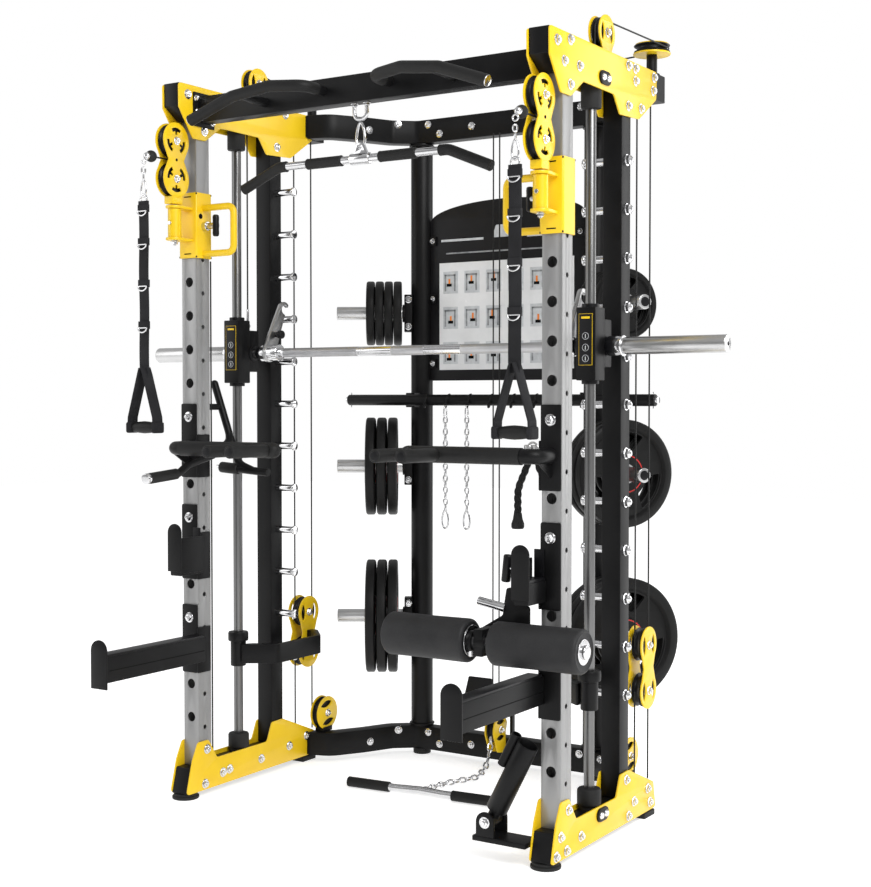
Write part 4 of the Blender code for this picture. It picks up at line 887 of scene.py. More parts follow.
def pull_up_bar():
    """Front crossbar with two bent, rubber-gripped handles, end flanges and the hanging loop."""
    end, low, high = INNER_X - 0.0003, 2.107, 2.187
    shape = Shape("head_crossbar")
    shape.box((-end + 0.004, end - 0.004), (0.0, 0.050), (low, high), "black", 0.004)
    for _, shape.side in SIDES:
        shape.box((end - 0.006, end), (-0.020, 0.075), (2.095, 2.200), "black", 0.0015)
        for y in (-0.010, 0.064):
            for z in (2.115, 2.180):
                shape.bolt((end - 0.006, y, z), (-1, 0, 0), 0.007)
        grip = rounded(PULL_UP_ROUTE, 0.045, 8)
        shape.tube(grip, 0.0140, "black", 24)
        shape.tube(part_of(grip, lambda p: p.y < -0.030), 0.0172, "grip", 32)
        tip, on = grip[-1], (grip[-1] - grip[-2]).normalized()
        shape.rod(tip - on * 0.003, tip + on * 0.003, 0.0160, "chrome", 0.002, 32)
        shape.tube(rounded(PULL_UP_BRACE, 0.03, 6), 0.0140, "black", 24)
        shape.bolt((0.022, 0.025, low), (0, 0, -1), 0.008)
    loop = rounded([(x, 0.025, z) for x, z in ((-0.022, low + 0.002), (-0.022, 2.061),
                                               (0.022, 2.061), (0.022, low + 0.002))], 0.021, 10)
    shape.tube(loop, 0.006, "chrome", 16)
    shape.place("frame", "pull_up_bar")


# ---------------------------------------------------------------- attachments

def clamp(shape, low, high, hole):
    """Bent sheet on the front and inner faces of an upright, with its pin in a numbered hole."""
    z = HOLE_Z + hole * HOLE_PITCH
    front = rect(thick(SIDE_X, 0.0305), (low, z + 0.041))
    shape.plate(fillet(front, 0.006), [], "Y", -0.0065, -0.0003, "black", 0.0015)
    cheek = rect((-0.0065, 0.052), (low, high))
    shape.plate(fillet(cheek, 0.004), [], "X", SIDE_X - HALF - 0.0065, SIDE_X - HALF - 0.0003,
                "black", 0.0015)
    shape.rod((SIDE_X, -0.0065, z), (SIDE_X, -0.0085, z), 0.0160, "chrome", 0.001, 32)
    shape.bolt((SIDE_X, -0.0085, z), (0, -1, 0), 0.0100)


def spotter_arm(label, side):
    shape = Shape("safety_arm_" + label, side)
    clamp(shape, 0.392, 0.536, 3)
    front = -SPOTTER_FRONT
    shape.box((0.574, 0.622), (front + 0.006, -0.006), (0.432, 0.509), "black", 0.004)
    shape.box((0.576, 0.620), (front + 0.008, -0.012), (0.507, 0.515), "plastic", 0.002)
    # thin dark lines along both sides of the arm: painted shade of a groove
    for x in (0.574, 0.622):
        shape.box(thick(x, 0.0006), (front + 0.020, -0.012), (0.466, 0.4685), "dark", 0.0003)
    shape.plate(round_top(0.598, 0.031, 0.415, 0.526), [], "Y", front, front + 0.006, "black",
                0.0012)
    shape.plate(round_top(0.598, 0.026, 0.517, 0.527), [], "Y", front + 0.006, front + 0.010,
                "plastic", 0.001)
    shape.place("frame", "spotter_arm_" + label)


def j_cup(label, side):
    """Saddle with a deep seat and a round-topped front lip, both lined with plastic."""
    shape = Shape("bar_cup_" + label, side)
    clamp(shape, 0.687, 0.834, 6)
    for x, y, z, finish, bevel in (
            ((0.584, 0.628), (-0.106, -0.006), (0.708, 0.767), "black", 0.004),
            ((0.580, 0.586), (-0.106, -0.006), (0.716, 0.826), "black", 0.002),
            ((0.586, 0.626), (-0.104, -0.007), (0.765, 0.775), "plastic", 0.003),
            ((0.592, 0.622), (-0.0095, -0.006), (0.774, 0.850), "plastic", 0.002)):
        shape.box(x, y, z, finish, bevel)
    shape.plate(round_top(0.606, 0.027, 0.722, 0.842), [], "Y", -0.112, -0.1065, "black", 0.0012)
    shape.plate(round_top(0.606, 0.022, 0.772, 0.842), [], "Y", -0.1066, -0.1020, "plastic")
    shape.place("frame", "j_cup_" + label)


def dip_handle(label, side):
    """Saddle, long cross tube and two forward prongs, sleeved with foam grips."""
    shape = Shape("dip_bars_" + label, side)
    clamp(shape, 1.006, 1.140, 9)
    x, z = SIDE_X, 1.100
    cross = rounded(((x, -0.004, z), (x, -0.086, z), (0.238, -0.086, z)), 0.06, 12)
    shape.tube(cross, 0.0205, "black", 32)
    shape.tube(part_of(cross, lambda p: p.x < 0.60), 0.0230, "grip", 36)
    shape.ball(cross[-1], 0.0228, "grip")
    web = [(-0.006, 1.040), (-0.075, 1.082), (-0.006, 1.086)]
    shape.plate(web, [], "X", x - 0.003, x + 0.003, "black")
    for x in (0.336, 0.252):
        shape.rods("Y", (x, z), (-0.080, -0.268, 0.0165, "black"),
                   (-0.108, -0.270, 0.0185, "grip", 0.004, 36),
                   (-0.268, -0.272, 0.0130, "plastic", 0.002, 32))
    shape.place("frame", "dip_handle_" + label)


def roller_bracket():
    """Arm and hub of the rollers, with the curved plate, the chrome rod and the knob above."""
    shape = Shape("roller_mount")
    arm = ((0.484, -0.146), (0.512, -0.146), (0.512, -0.054), (0.6097, -0.054), (0.6097, 0.052),
           (0.6037, 0.052), (0.6037, -0.012), (0.484, -0.012))
    shape.plate(fillet(arm, 0.003, 2), [], "Z", 0.570, 0.642, "black", 0.002)
    hub = ((0.021, 0.0), (0.027, 0.0), (0.028, 0.002), (0.028, 0.028), (0.027, 0.030),
           (0.021, 0.030))
    shape.lathe(hub, (0.484, ROLLER_Y, ROLLER_Z), OUT, "black")
    curved = ((0.450, 0.628), (0.524, 0.672), (0.530, 0.712), (0.536, 0.747), (0.556, 0.747),
              (0.562, 0.708), (0.606, 0.700), (0.606, 0.640), (0.586, 0.634), (0.552, 0.652),
              (0.506, 0.634), (0.470, 0.622))
    shape.plate(fillet(curved, 0.010), [], "Y", -0.060, -0.052, "black", 0.0015)
    shape.rod((0.448, -0.056, 0.705), (0.532, -0.056, 0.691), 0.0120, "chrome", steps=24)
    shape.rod((0.534, -0.060, 0.762), (0.542, -0.060, 0.836), 0.0125, "plastic", 0.005, 24)
    shape.rod((0.530, -0.060, 0.800), (0.5795, -0.060, 0.800), 0.0050, "chrome", steps=16)
    for z in (0.585, 0.628):
        shape.bolt((0.6037, 0.035, z), (-1, 0, 0), 0.008)
        shape.bolt((0.560, -0.054, z), (0, -1, 0), 0.0075)
    shape.place("frame", "roller_bracket")


def foam_rollers():
    """Chrome axle with two thick foam sleeves, their end washers and cap nuts."""
    shape = Shape("roller_pads")
    line = (ROLLER_Y, ROLLER_Z)
    shape.rods("X", line, (0.1985, 0.8095, 0.0195, "chrome", 0.003, 40))
    for low, high, inner_end in ((0.204, 0.463, 1), (0.537, 0.800, -1)):
        length = high - low
        cap = [(0.0200, 0.0035), (0.040, 0.0032), (0.050, 0.0010)]
        cap += [(ROLLER_R - 0.010 + 0.010 * sin(t), 0.010 - 0.010 * cos(t))
                for t in (0.2, 0.6, 1.0, 1.3)]
        swell = [(ROLLER_R - 0.0005 - 0.00048 * cos(tau * (0.5 + k)), length * k)
                 for k in (0.06, 0.2, 0.35, 0.5, 0.65, 0.8, 0.94)]
        shape.lathe(cap + swell + [(r, length - h) for r, h in reversed(cap)], (low, *line), OUT,
                    "foam", 64)
        near, far = (high, low) if inner_end > 0 else (low, high)
        way = inner_end
        shape.rods("X", line, (near - way * 0.001, near + way * 0.003, 0.043, "chrome", 0.001, 40),
                   (near, near + way * 0.012, 0.028, "black", 0.002, 36),
                   (far + way * 0.004, far + way * 0.0005, 0.0335, "chrome", 0.001, 40),
                   (far + way * 0.001, far - way * 0.004, 0.016, "chrome", 0.002, 32))
    piece = shape.place("foam_rollers", "foam_rollers")


def landmine_socket():
    """Leaning barbell socket with its pivot lug and the small keeper tube beside it."""
    pivot = Vector((MINE_X, MINE_Y, MINE_Z))
    way = Vector((sin(MINE_LEAN), 0.0, cos(MINE_LEAN)))
    beside = Vector((-cos(MINE_LEAN), 0.0, sin(MINE_LEAN)))
    across = Vector((0, 0.026, 0))
    shape = Shape("barbell_pivot")
    wall = ((0.0, 0.062), (0.0255, 0.062), (0.0255, 0.2455), (0.0265, 0.247), (0.029, 0.247),
            (0.030, 0.2455), (0.030, 0.036), (0.0285, 0.034), (0.0, 0.034))
    shape.lathe(wall, pivot, way, "black", 48)
    shape.rod(pivot, pivot + way * 0.040, 0.017, "black", 0.002, 32)
    shape.rod(pivot - across, pivot + across, 0.020, "black", 0.002, 36)
    keeper = ((0.0, 0.152), (0.013, 0.152), (0.014, 0.153), (0.014, 0.251), (0.0132, 0.252),
              (0.011, 0.252), (0.011, 0.170), (0.0, 0.170))
    shape.lathe(keeper, pivot + beside * 0.042, way, "black", 32)
    shape.place("landmine_socket", "landmine_socket")


def lat_bar():
    """Long pull-down bar: chrome middle, bent rubber grips and the hanging plate."""
    y, z = 0.025, LAT_BAR_Z
    route = rounded(((-0.438, y, 1.890), (-0.300, y, z), (0.300, y, z), (0.438, y, 1.890)), 0.06,
                    10)
    shape = Shape("pull_down_bar")
    shape.tube(route, 0.0115, "chrome", 28)
    for _, shape.side in SIDES:
        for near, far in ((0.066, 0.196), (0.272, 1.0)):
            line = part_of(route, lambda p: near < p.x < far)
            shape.tube(line, 0.0158, "grip", 28)
            for end, before in ((line[-1], line[-2]), (line[0], line[1])):
                on = (end - before).normalized()
                shape.rod(end - on * 0.004, end + on * 0.0008, 0.0163, "grip", 0.003, 28)
    plate = [(-0.030, z + 0.004), (0.030, z + 0.004), (0.012, 1.992), (-0.012, 1.992)]
    hole = ring_of((0.0, 1.980), 0.006, 0, 340, 17)
    shape.plate(fillet(plate, 0.006), [hole], "Y", y - 0.004, y + 0.004, "chrome")
    shape.rod((-0.034, y, z), (0.034, y, z), 0.0165, "chrome", 0.002, 32)
    snap_hook(shape, (0.0, y, 2.050), size=0.074)
    shape.place("lat_bar", "lat_bar")


def row_bar():
    """Short bar on the floor with two rubber grips, tied by a chain to the low pulley."""
    route = rounded(((-0.287, 0.357, 0.0165), (-0.110, 0.3725, 0.0165), (-0.030, 0.382, 0.019),
                     (0.050, 0.3870, 0.0165), (0.222, 0.402, 0.0165)), 0.04, 8)
    shape = Shape("low_row_bar")
    shape.tube(route, 0.0120, "chrome", 28)
    for keep in (lambda p: p.x < -0.135, lambda p: p.x > 0.085):
        grip = part_of(route, keep)
        shape.tube(grip, 0.0160, "grip", 28)
        for a, b in ((grip[0], grip[1]), (grip[-1], grip[-2])):
            shape.rod(a, a + (b - a).normalized() * 0.006, 0.0163, "grip", 0.003, 28)
    shape.place("frame", "row_bar")
    links = Shape("low_row_chain")
    route = rounded(((-0.020, 0.405, 0.020), (-0.018, 0.520, 0.012), (0.030, 0.640, 0.012),
                     (0.010, 0.730, 0.030), (0.0, 0.770, 0.085), (0.0, 0.772, 0.118)), 0.08, 10)
    chain(links, route, 0.024, 0.0034)
    snap_hook(links, (-0.026, 0.382, 0.022), (0.1, 1, 0.0), 0.040)
    links.place("frame")


def triceps_rope():
    """Two braided legs with moulded ends, hanging from a ring on the storage bar."""
    x, y, top = 0.170, 0.752, 1.103
    apart, spread, drop, foot = 0.0155, 0.0405, 0.200, top - 0.036
    head = Shape("rope_hanger")
    ferrule = ((0.0, 0.0), (0.014, 0.0), (0.0155, 0.003), (0.0155, 0.030), (0.0135, 0.034),
               (0.0, 0.034))
    for s in (-1, 1):
        head.lathe(ferrule, (x + s * apart, y, foot), UP, "steel", 28)
    head.tube(ring3((x, y, top - 0.012), 0.018), 0.0035, "steel", 12, closed=True)
    head.place("triceps_rope", "triceps_rope")
    cap = ((0.0, -0.044), (0.018, -0.043), (0.0215, -0.038), (0.0215, -0.026), (0.016, -0.010),
           (0.014, 0.004), (0.013, 0.010), (0.0, 0.010))
    sides, twist = 24, 260.0
    for label, s in (("inner", -1.0), ("outer", 1.0)):
        route = [Vector((x + s * (apart + spread * (1 - cos(pi * min(t * 1.5, 1.0))) / 2), y,
                         foot - drop * t)) for t in [i / 23 for i in range(24)]]
        fine = [route[0]] + [a.lerp(b, k / 4) for a, b in zip(route, route[1:])
                             for k in (1, 2, 3, 4)]
        rings = []
        for p in fine:
            strands = [0.0118 + 0.0012 * cos(3 * tau * i / sides + twist * p.z)
                       for i in range(sides)]
            rings.append([(p.x + r * cos(tau * i / sides), p.y + r * sin(tau * i / sides), p.z)
                          for i, r in enumerate(strands)])
        leg, knob = Shape("rope_leg_" + label), Shape("rope_end_" + label)
        leg.take(loft(rings, "capped"), "braid")
        piece = leg.place("triceps_rope")
        knob.lathe(cap, route[-1], UP, "rubber", 36)
        tip = knob.place("triceps_rope")


# ---------------------------------------------------------------- smith bar and lifts

def smith_carriage(label, side):
    """Long guide block with end caps, an instruction plate and the bearing hub of the bar."""
    shape = Shape("bar_slide_" + label, side)
    low, high, front, bore = 1.293, 1.516, ROD_Y - HALF, ROD_R + 0.0008
    shape.box(thick(SIDE_X, HALF), thick(ROD_Y, HALF), (low + 0.010, high - 0.010), "black",
              0.003)
    cap = ((bore, 0.0), (0.0235, 0.0), (0.0245, 0.001), (0.0245, 0.015), (0.0235, 0.016),
           (bore, 0.016))
    for z in (low, high - 0.016):
        shape.lathe(cap, (SIDE_X, ROD_Y, z), UP, "plastic")
    shape.box(thick(SIDE_X, 0.029), (ROD_Y + 0.020, 0.305), (1.340, 1.475), "black", 0.006)
    for half, stand, back, z, finish, bevel in (
            (0.0210, 0.0008, 0.0005, (1.345, 1.488), "yellow", 0.0003),
            (0.0200, 0.0012, 0.0, (1.346, 1.487), "sheet", 0.0003),
            (0.0130, 0.0018, 0.0, (1.474, 1.480), "yellow", 0.0002)):
        shape.box(thick(SIDE_X, half), (front - stand, front + back), z, finish, bevel)
    for z in (1.364, 1.394, 1.426):
        shape.tube(ring3((SIDE_X, front - 0.0013, z), 0.0095, 28), 0.0006, "ink_pale", 6,
                   closed=True)
        shape.box(thick(SIDE_X, 0.0012), (front - 0.0018, front), (z - 0.006, z + 0.005),
                  "ink_pale", 0.0002)
    bush = ((bore, 0.0), (0.024, 0.0), (0.025, 0.001), (0.025, 0.004), (0.0235, 0.005),
            (bore, 0.005))
    for way in (-1, 1):
        shape.lathe(bush, (SIDE_X + way * 0.0285, BAR_Y, BAR_Z), (way, 0, 0), "plastic")
    shape.rods("Z", (SMITH_CABLE_X, SMITH_CABLE_Y), (1.473, 1.479, 0.006, "chrome", 0.0012, 20),
               (1.492, 1.545, 0.0042, "chrome", 0.0012, 20))
    shape.ball((SMITH_CABLE_X, SMITH_CABLE_Y, 1.490), 0.0090, "chrome")
    shape.place("smith_carriages", "smith_carriage_" + label)


def catch_hook(shape):
    """Thick chrome arm from the bar, with its round notch, bolt and knob."""
    dy, dz = PEG_Y - BAR_Y, PEG_Z + HOOK_PEG * PEG_PITCH - BAR_Z
    reach, lean = hypot(dy, dz), atan2(dz, dy) + HOOK_LEAN
    angle, along, rim = degrees(lean), (cos(lean), sin(lean)), 0.0255
    tip = (BAR_Y + reach * along[0], BAR_Z + reach * along[1])
    away = (0.01166 * along[1], -0.01166 * along[0])     # from the notch to the open side
    arc = ring_of(tip, 0.0145, angle + 180, angle, 14)
    heel = (tip[0] - rim * along[0], tip[1] - rim * along[1])
    mouth = [(y + away[0], z + away[1]) for y, z in (heel, arc[0], arc[-1])]
    outline = ring_of((BAR_Y, BAR_Z), 0.029, angle + 97, angle + 263, 24)
    outline += mouth[:2] + arc + mouth[2:] + ring_of(tip, rim, angle - 26, angle + 83, 18)
    shape.plate(outline, [], "X", *thick(HOOK_X, 0.006), "steel", 0.0012)
    middle = (BAR_Y + reach * 0.42 * along[0], BAR_Z + reach * 0.42 * along[1])
    shape.rods("X", middle, (HOOK_X - 0.006, HOOK_X - 0.016, 0.009, "plastic", 0.001, 28),
               (HOOK_X - 0.016, HOOK_X - 0.034, 0.0135, "plastic", 0.004, 32))


def smith_bar():
    """Chrome bar with knurled grip zones, sleeves, collars and the two catch hooks."""
    shape = Shape("guided_bar")
    line = (BAR_Y, BAR_Z)
    shape.rods("X", line, (-0.720, 0.720, BAR_R - 0.0004, "chrome", 0.0012, 48))
    for zone in ((-0.480, -0.190), (-0.060, 0.060), (0.190, 0.480)):
        shape.rods("X", line, (*zone, BAR_R, "knurl", 0.0004, 48))
    hub = ((BAR_R, 0.0), (0.025, 0.0), (0.0272, 0.002), (0.0272, 0.020), (0.0245, 0.023),
           (0.0245, 0.046), (0.0272, 0.049), (0.0272, 0.068), (0.025, 0.070), (BAR_R, 0.070))
    for _, shape.side in SIDES:
        # the small dark disc on each sleeve end is painted shade for the bore of the sleeve
        shape.rods("X", line, (0.7215, BAR_HALF - 0.0005, SLEEVE_R, "steel", 0.002, 56),
                   (BAR_HALF - 0.001, BAR_HALF + 0.0003, 0.018, "chrome", 0.0004, 40),
                   (BAR_HALF - 0.001, BAR_HALF + 0.0003, 0.007, "dark", 0.0002, 24),
                   (0.698, 0.722, 0.030, "chrome", 0.004, 56),
                   (0.6745, 0.699, 0.0285, "plastic", 0.002, 48),
                   (0.571, 0.590, 0.020, "plastic", 0.003, 40))
        shape.lathe(hub, (0.500, *line), OUT, "chrome", 48)
        catch_hook(shape)
    shape.place("smith_bar", "smith_bar")


def lift_carriage(label, side):
    """Sleeve on the guide rod, the arm round the pegs and the floating pair of pulleys."""
    shape = Shape("cable_lift_" + label, side)
    bore = ROD_R + 0.0008
    sleeve = ((bore, 0.0), (0.0235, 0.0), (0.025, 0.002), (0.025, 0.080), (0.0315, 0.082),
              (0.033, 0.085), (0.033, 0.106), (0.031, 0.111), (bore, 0.111))
    shape.lathe(sleeve, (SIDE_X, ROD_Y, 0.379), UP, "black", 48)
    arm = ((0.613, 0.232), (0.600, 0.252), (0.527, 0.290), (0.527, 0.490), (0.596, 0.560),
           (0.616, 0.560), (0.616, 0.592), (0.590, 0.592), (0.511, 0.505), (0.511, 0.275),
           (0.590, 0.222), (0.613, 0.205))
    shape.plate(fillet(arm, 0.030, 6), [], "Z", 0.390, 0.452, "black", 0.0015)
    pulley_cheeks(shape, SIDE_X, figure_eight(LIFT_Y, LIFT_Z, 0.055),
                  [(LIFT_Y, z, 0.055, 0) for z in LIFT_Z], (-0.0245, 0.0205), 0.0247, 0.0095)
    for z in LIFT_Z:
        wheel(shape, (SIDE_X, LIFT_Y, z), OUT, 0.050)
        shape.rods("X", (LIFT_Y, z), (*thick(SIDE_X, 0.021), 0.0078, "steel", 0.0012, 24))
    for z in (0.405, 0.437):
        shape.bolt((0.6145, 0.576, z), (-1, 0, 0), 0.0075)
    shape.place("lift_carriage_" + label, "lift_carriage_" + label)


# ---------------------------------------------------------------- cable columns

def pulley_carriage(label, side):
    """Yellow sleeve with its D handle, pin boss and the split barrel for the swivel."""
    x, outer = SIDE_X, 0.036
    shape = Shape("column_slide_" + label, side)
    for z, low, high, wide, bore, rounding, finish, bevel in (
            (0.0, CARRIAGE_LOW, CARRIAGE_TOP, outer, 0.031, 0.007, "yellow", 0.001),
            (0.001, CARRIAGE_LOW, CARRIAGE_LOW + 0.0055, 0.0355, 0.0303, 0.0, "plastic", 0.0006),
            (-0.0065, CARRIAGE_TOP, CARRIAGE_TOP + 0.0055, 0.0355, 0.0303, 0.0, "plastic",
             0.0006)):
        ring = rect(thick(x, wide), thick(HALF, wide))
        shape.plate(fillet(ring, rounding) if rounding else ring,
                    [rect(thick(x, bore), thick(HALF, bore))], "Z", low + z, high + z, finish,
                    bevel)
    for z in (1.740, 1.838):
        flange = [(x - 0.027, SWIVEL_Y), (x - 0.021, HALF - outer + 0.001),
                  (x + 0.021, HALF - outer + 0.001)]
        flange += ring_of((x, SWIVEL_Y), 0.027, 0, -168.75, 15)
        shape.plate(flange, [], "Z", z, z + 0.008, "yellow", 0.001)
    barrel = ((0.0088, 0.0), (0.0195, 0.0), (0.0205, 0.0012), (0.0205, 0.088), (0.0195, 0.089),
              (0.0088, 0.089))
    shape.lathe(barrel, (x, SWIVEL_Y, 1.748), UP, "yellow")
    shape.rods("Y", (x, 1.792), (SWIVEL_Y - 0.0195, SWIVEL_Y - 0.0245, 0.006, "chrome", 0.001, 20))
    root, reach = SIDE_X - outer + 0.001, 0.484
    handle = rounded(((root, HALF, 1.847), (reach, HALF, 1.847), (reach, HALF, 1.704),
                      (root, HALF, 1.704)), 0.026, 8)
    shape.tube(handle, 0.0105, "yellow", 28)
    boss = ((0.0068, 0.0), (0.013, 0.0), (0.014, 0.001), (0.014, 0.016), (0.0068, 0.016))
    shape.lathe(boss, (0.588, HALF, POP_PIN_Z), OUT, "chrome", 32)
    # the dark slits on the front and the dark disc on the inner face are painted shade for openings
    # in the sleeve
    for z in (CARRIAGE_LOW + 0.013, CARRIAGE_TOP - 0.013):
        shape.box(thick(x, 0.014), (HALF - outer - 0.0006, HALF - outer + 0.0005),
                  thick(z, 0.0017), "dark", 0.0002)
    shape.rods("X", (0.014, 1.820), (SIDE_X - outer - 0.0006, SIDE_X - outer + 0.001, 0.0085,
                                     "dark", 0.0002, 28))
    shape.place("pulley_carriage_" + label, "pulley_carriage_" + label)


def pop_pin(label, side):
    shape = Shape("pull_pin_" + label, side)
    shape.rods("X", (HALF, POP_PIN_Z), (0.6085, 0.556, 0.006, "chrome", 0.0012, 24),
               (0.5875, 0.560, 0.0098, "steel", 0.001, 28))
    knob = ((0.0098, -0.012), (0.0104, -0.024), (0.0092, -0.031), (0.006, -0.0335), (0.0, -0.034))
    profile = list(reversed(knob)) + [(0.0108, 0.0)] + [(r, -h) for r, h in knob]
    shape.lathe(profile, (0.556, HALF, POP_PIN_Z), UP, "plastic", 32)
    shape.place("pop_pin_" + label, "pop_pin_" + label)


def swivel_bracket(label, side):
    """Slotted yellow cheeks on the swivel pin, with the ball stop and end fitting of the cable."""
    x, y, (low, high) = SIDE_X, SWIVEL_WHEEL_Y, SWIVEL_Z
    shape = Shape("swivel_cheeks_" + label, side)
    shape.rod((x, SWIVEL_Y, 1.733), (x, SWIVEL_Y, 1.872), 0.008, "steel", steps=28)
    shape.bolt((x, SWIVEL_Y, 1.7365), (0, 0, -1), 0.0085)
    shape.box(thick(x, 0.0172), (SWIVEL_Y - 0.027, SWIVEL_Y + 0.018), (1.850, 1.8735), "yellow",
              0.002)
    pulley_cheeks(shape, x, figure_eight(y, SWIVEL_Z, 0.056),
                  [(y, low, 0.056, 270), (y, high, 0.056, 90)], (-0.018, 0.014), 0.0182, 0.0085,
                  t_slots)
    for z in SWIVEL_Z:
        shape.rods("X", (y, z), (*thick(x, 0.0172), 0.0068, "steel", 0.0012, 24))
    z = (low + high) / 2
    # the dark discs on the outer faces of the cheeks are painted shade in their holes
    for way in (1, -1):
        shape.rods("X", (y, z), (x + way * 0.0175, x + way * 0.0192, 0.0045, "dark", 0.0003, 20))
    shape.tube([(x, y, z), (x, -0.152, z)], CABLE_R, "cable", 12)
    shape.ball((x, -0.167, z), 0.0178, "rubber")
    shape.ball((x, -0.184, z - 0.001), 0.0110, "chrome")
    shape.tube([(x, -0.182, z), (x, -0.190, z - 0.004), (x, -0.196, z - 0.012)], 0.0032, "steel",
               12)
    shape.tube(ring3((x, -0.199, z - 0.020), 0.008), 0.0024, "chrome", 10, closed=True)
    shape.place("swivel_" + label, "swivel_bracket_" + label)


def swivel_pulleys(label, side):
    for level, z in zip(("lower", "upper"), SWIVEL_Z):
        name = "swivel_pulley_%s_%s" % (level, label)
        shape = Shape("swivel_wheel_%s_%s" % (level, label), side)
        wheel(shape, (SIDE_X, SWIVEL_WHEEL_Y, z), OUT, 0.0515, 0.0076, False)
        shape.place(name, name)


def strap_section(width, thickness):
    """Flat webbing section with rounded selvedges."""
    half, r = width / 2, thickness / 2
    right = ring_of((half - r, 0.0), r, -90, 90, 5)
    return right + [(-u, -v) for u, v in right]


def hand_strap(label, side):
    """Doubled webbing with four D rings, a chain and the triangular hand grip."""
    x, y, body = side * SIDE_X, STRAP_Y, "hand_strap_" + label
    hang = Shape("strap_hardware_" + label)
    chain(hang, [(x, y, 1.948), (x, y, 1.905)], 0.0165, 0.0026)
    snap_hook(hang, (x, y, 1.908), size=0.050)
    hang.tube(ring3((x, y, 1.852), 0.0125), 0.0030, "chrome", 12, closed=True)
    for z in (1.815, 1.715, 1.590, 1.465):
        loop = [(x - 0.017, y - 0.006, z), (x + 0.017, y - 0.006, z)]
        loop += [(x + 0.0175 * cos(a), y - 0.009, z - 0.014 * sin(a))
                 for a in [pi * k / 10 for k in range(11)]]
        hang.tube(loop, 0.0022, "chrome", 10, closed=True)
        hang.box(thick(x, 0.0196), (y - 0.0060, y + 0.0046), (z - 0.003, z + 0.020), "webbing",
                 0.0010)
    hang.place(body, body)
    x = SIDE_X
    web = Shape("strap_webbing_" + label, side)
    route = [(x, y + 0.0012 * sin(26.0 * z), z) for z in [1.843 - 0.515 * k / 40
                                                          for k in range(41)]]
    web.sweep(route, strap_section(0.038, 0.0046), "webbing", up=(1, 0, 0))
    web.box(thick(x, 0.0185), thick(y, 0.0040), (1.824, 1.846), "webbing", 0.001)
    piece = web.place(body)
    grip = Shape("strap_grip_" + label, side)
    flat = [(v, u) for u, v in strap_section(0.042, 0.0056)]
    for s in (-1, 1):
        leg = rounded(((x + s * 0.004, y - 0.001, 1.345), (x + s * 0.011, y, 1.325),
                       (x + s * 0.0500, y, 1.196), (x + s * 0.0515, y, 1.166)), 0.02, 6)
        grip.sweep(leg, flat, "webbing", up=(1, 0, 0))
        grip.box((x + s * 0.043, x + s * 0.060), thick(y, 0.0220), (1.1485, 1.182), "webbing",
                 0.008, segments=4)
    handle = ((0.0, 0.0), (0.014, 0.0), (0.015, 0.010), (0.0172, 0.026), (0.0186, 0.047),
              (0.0172, 0.068), (0.015, 0.084), (0.014, 0.094), (0.0, 0.094))
    grip.lathe(handle, (x - 0.047, y, 1.166), OUT, "grip")
    grip.box(thick(x, 0.0165), thick(y, 0.0045), (1.318, 1.350), "webbing", 0.001)
    grip.place(body)


def moving_strand(name, side, x, y, fixed, moving, count, nodes=(), ends=None, sides=10):
    """An upright strand that stretches between the frame and a moving body."""
    shape = Shape(name, side)
    low, high = sorted((fixed, moving)) if ends is None else ends
    shape.tube([(x, y, low + (high - low) * k / count) for k in range(count + 1)], CABLE_R,
               "cable", sides)
    piece = shape.place(None, *nodes)
    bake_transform(piece)


def front_cables(label, side):
    """The strand behind the front upright and the two pairs that hold the lift carriage."""
    moving_strand("column_line_" + label, side, SIDE_X, CABLE_Y, 0.10, CARRIAGE_LOW, 60,
                  ["column_cable_" + label], (0.098, 1.688))
    low, high = LIFT_Z
    for name, y in (("near", LIFT_Y - 0.0475), ("far", LIFT_Y + 0.0475)):
        moving_strand("lift_line_%s_%s" % (name, label), side, SIDE_X, y, 0.10, low, 12,
                      ends=(0.098, low))
        moving_strand("lift_line_up_%s_%s" % (name, label), side, SIDE_X, y, BEAM_LOW, high, 40)


def smith_cable(label, side):
    """From the bar's carriage over the top pulley to the post pulley and the middle of the rear."""
    x, y, low = SMITH_CABLE_X, SMITH_CABLE_Y, SMITH_CABLE_LOW
    moving_strand("bar_line_" + label, side, x, y, BEAM_LOW, low, 30,
                  ["smith_cable_" + label], (low, TOP_PULLEY_Z), 12)
    over = [(x, u, v) for u, v in ring_of((TOP_PULLEY_Y, TOP_PULLEY_Z), TOP_PULLEY_Y - y, 180,
                                          80, 16)]
    z = POST_TOP + 0.017
    turn = [(u, v, z) for u, v in ring_of((SIDE_X, POST_Y), 0.0495, -10, 86, 16)]
    y = POST_Y + 0.05
    run = Shape("head_line_" + label, side)
    run.tube(over + turn + [(0.30, y, z - 0.015), (0.0, y, z - 0.03)], CABLE_R, "cable", 12)
    run.rod((0.0, y, z - 0.03), (0.022, y, z - 0.029), 0.0055, "chrome", 0.001, 16)
    run.place("frame")


def middle_cable():
    """Two strands between the columns, from the top tie to the low pulley."""
    shape = Shape("middle_line")
    for x in (-0.012, 0.012):
        shape.tube([(x, COLUMN_Y - 0.062, z) for z in (0.140, 1.2, BEAM_LOW)], CABLE_R, "cable",
                   10)
    shape.place("frame")


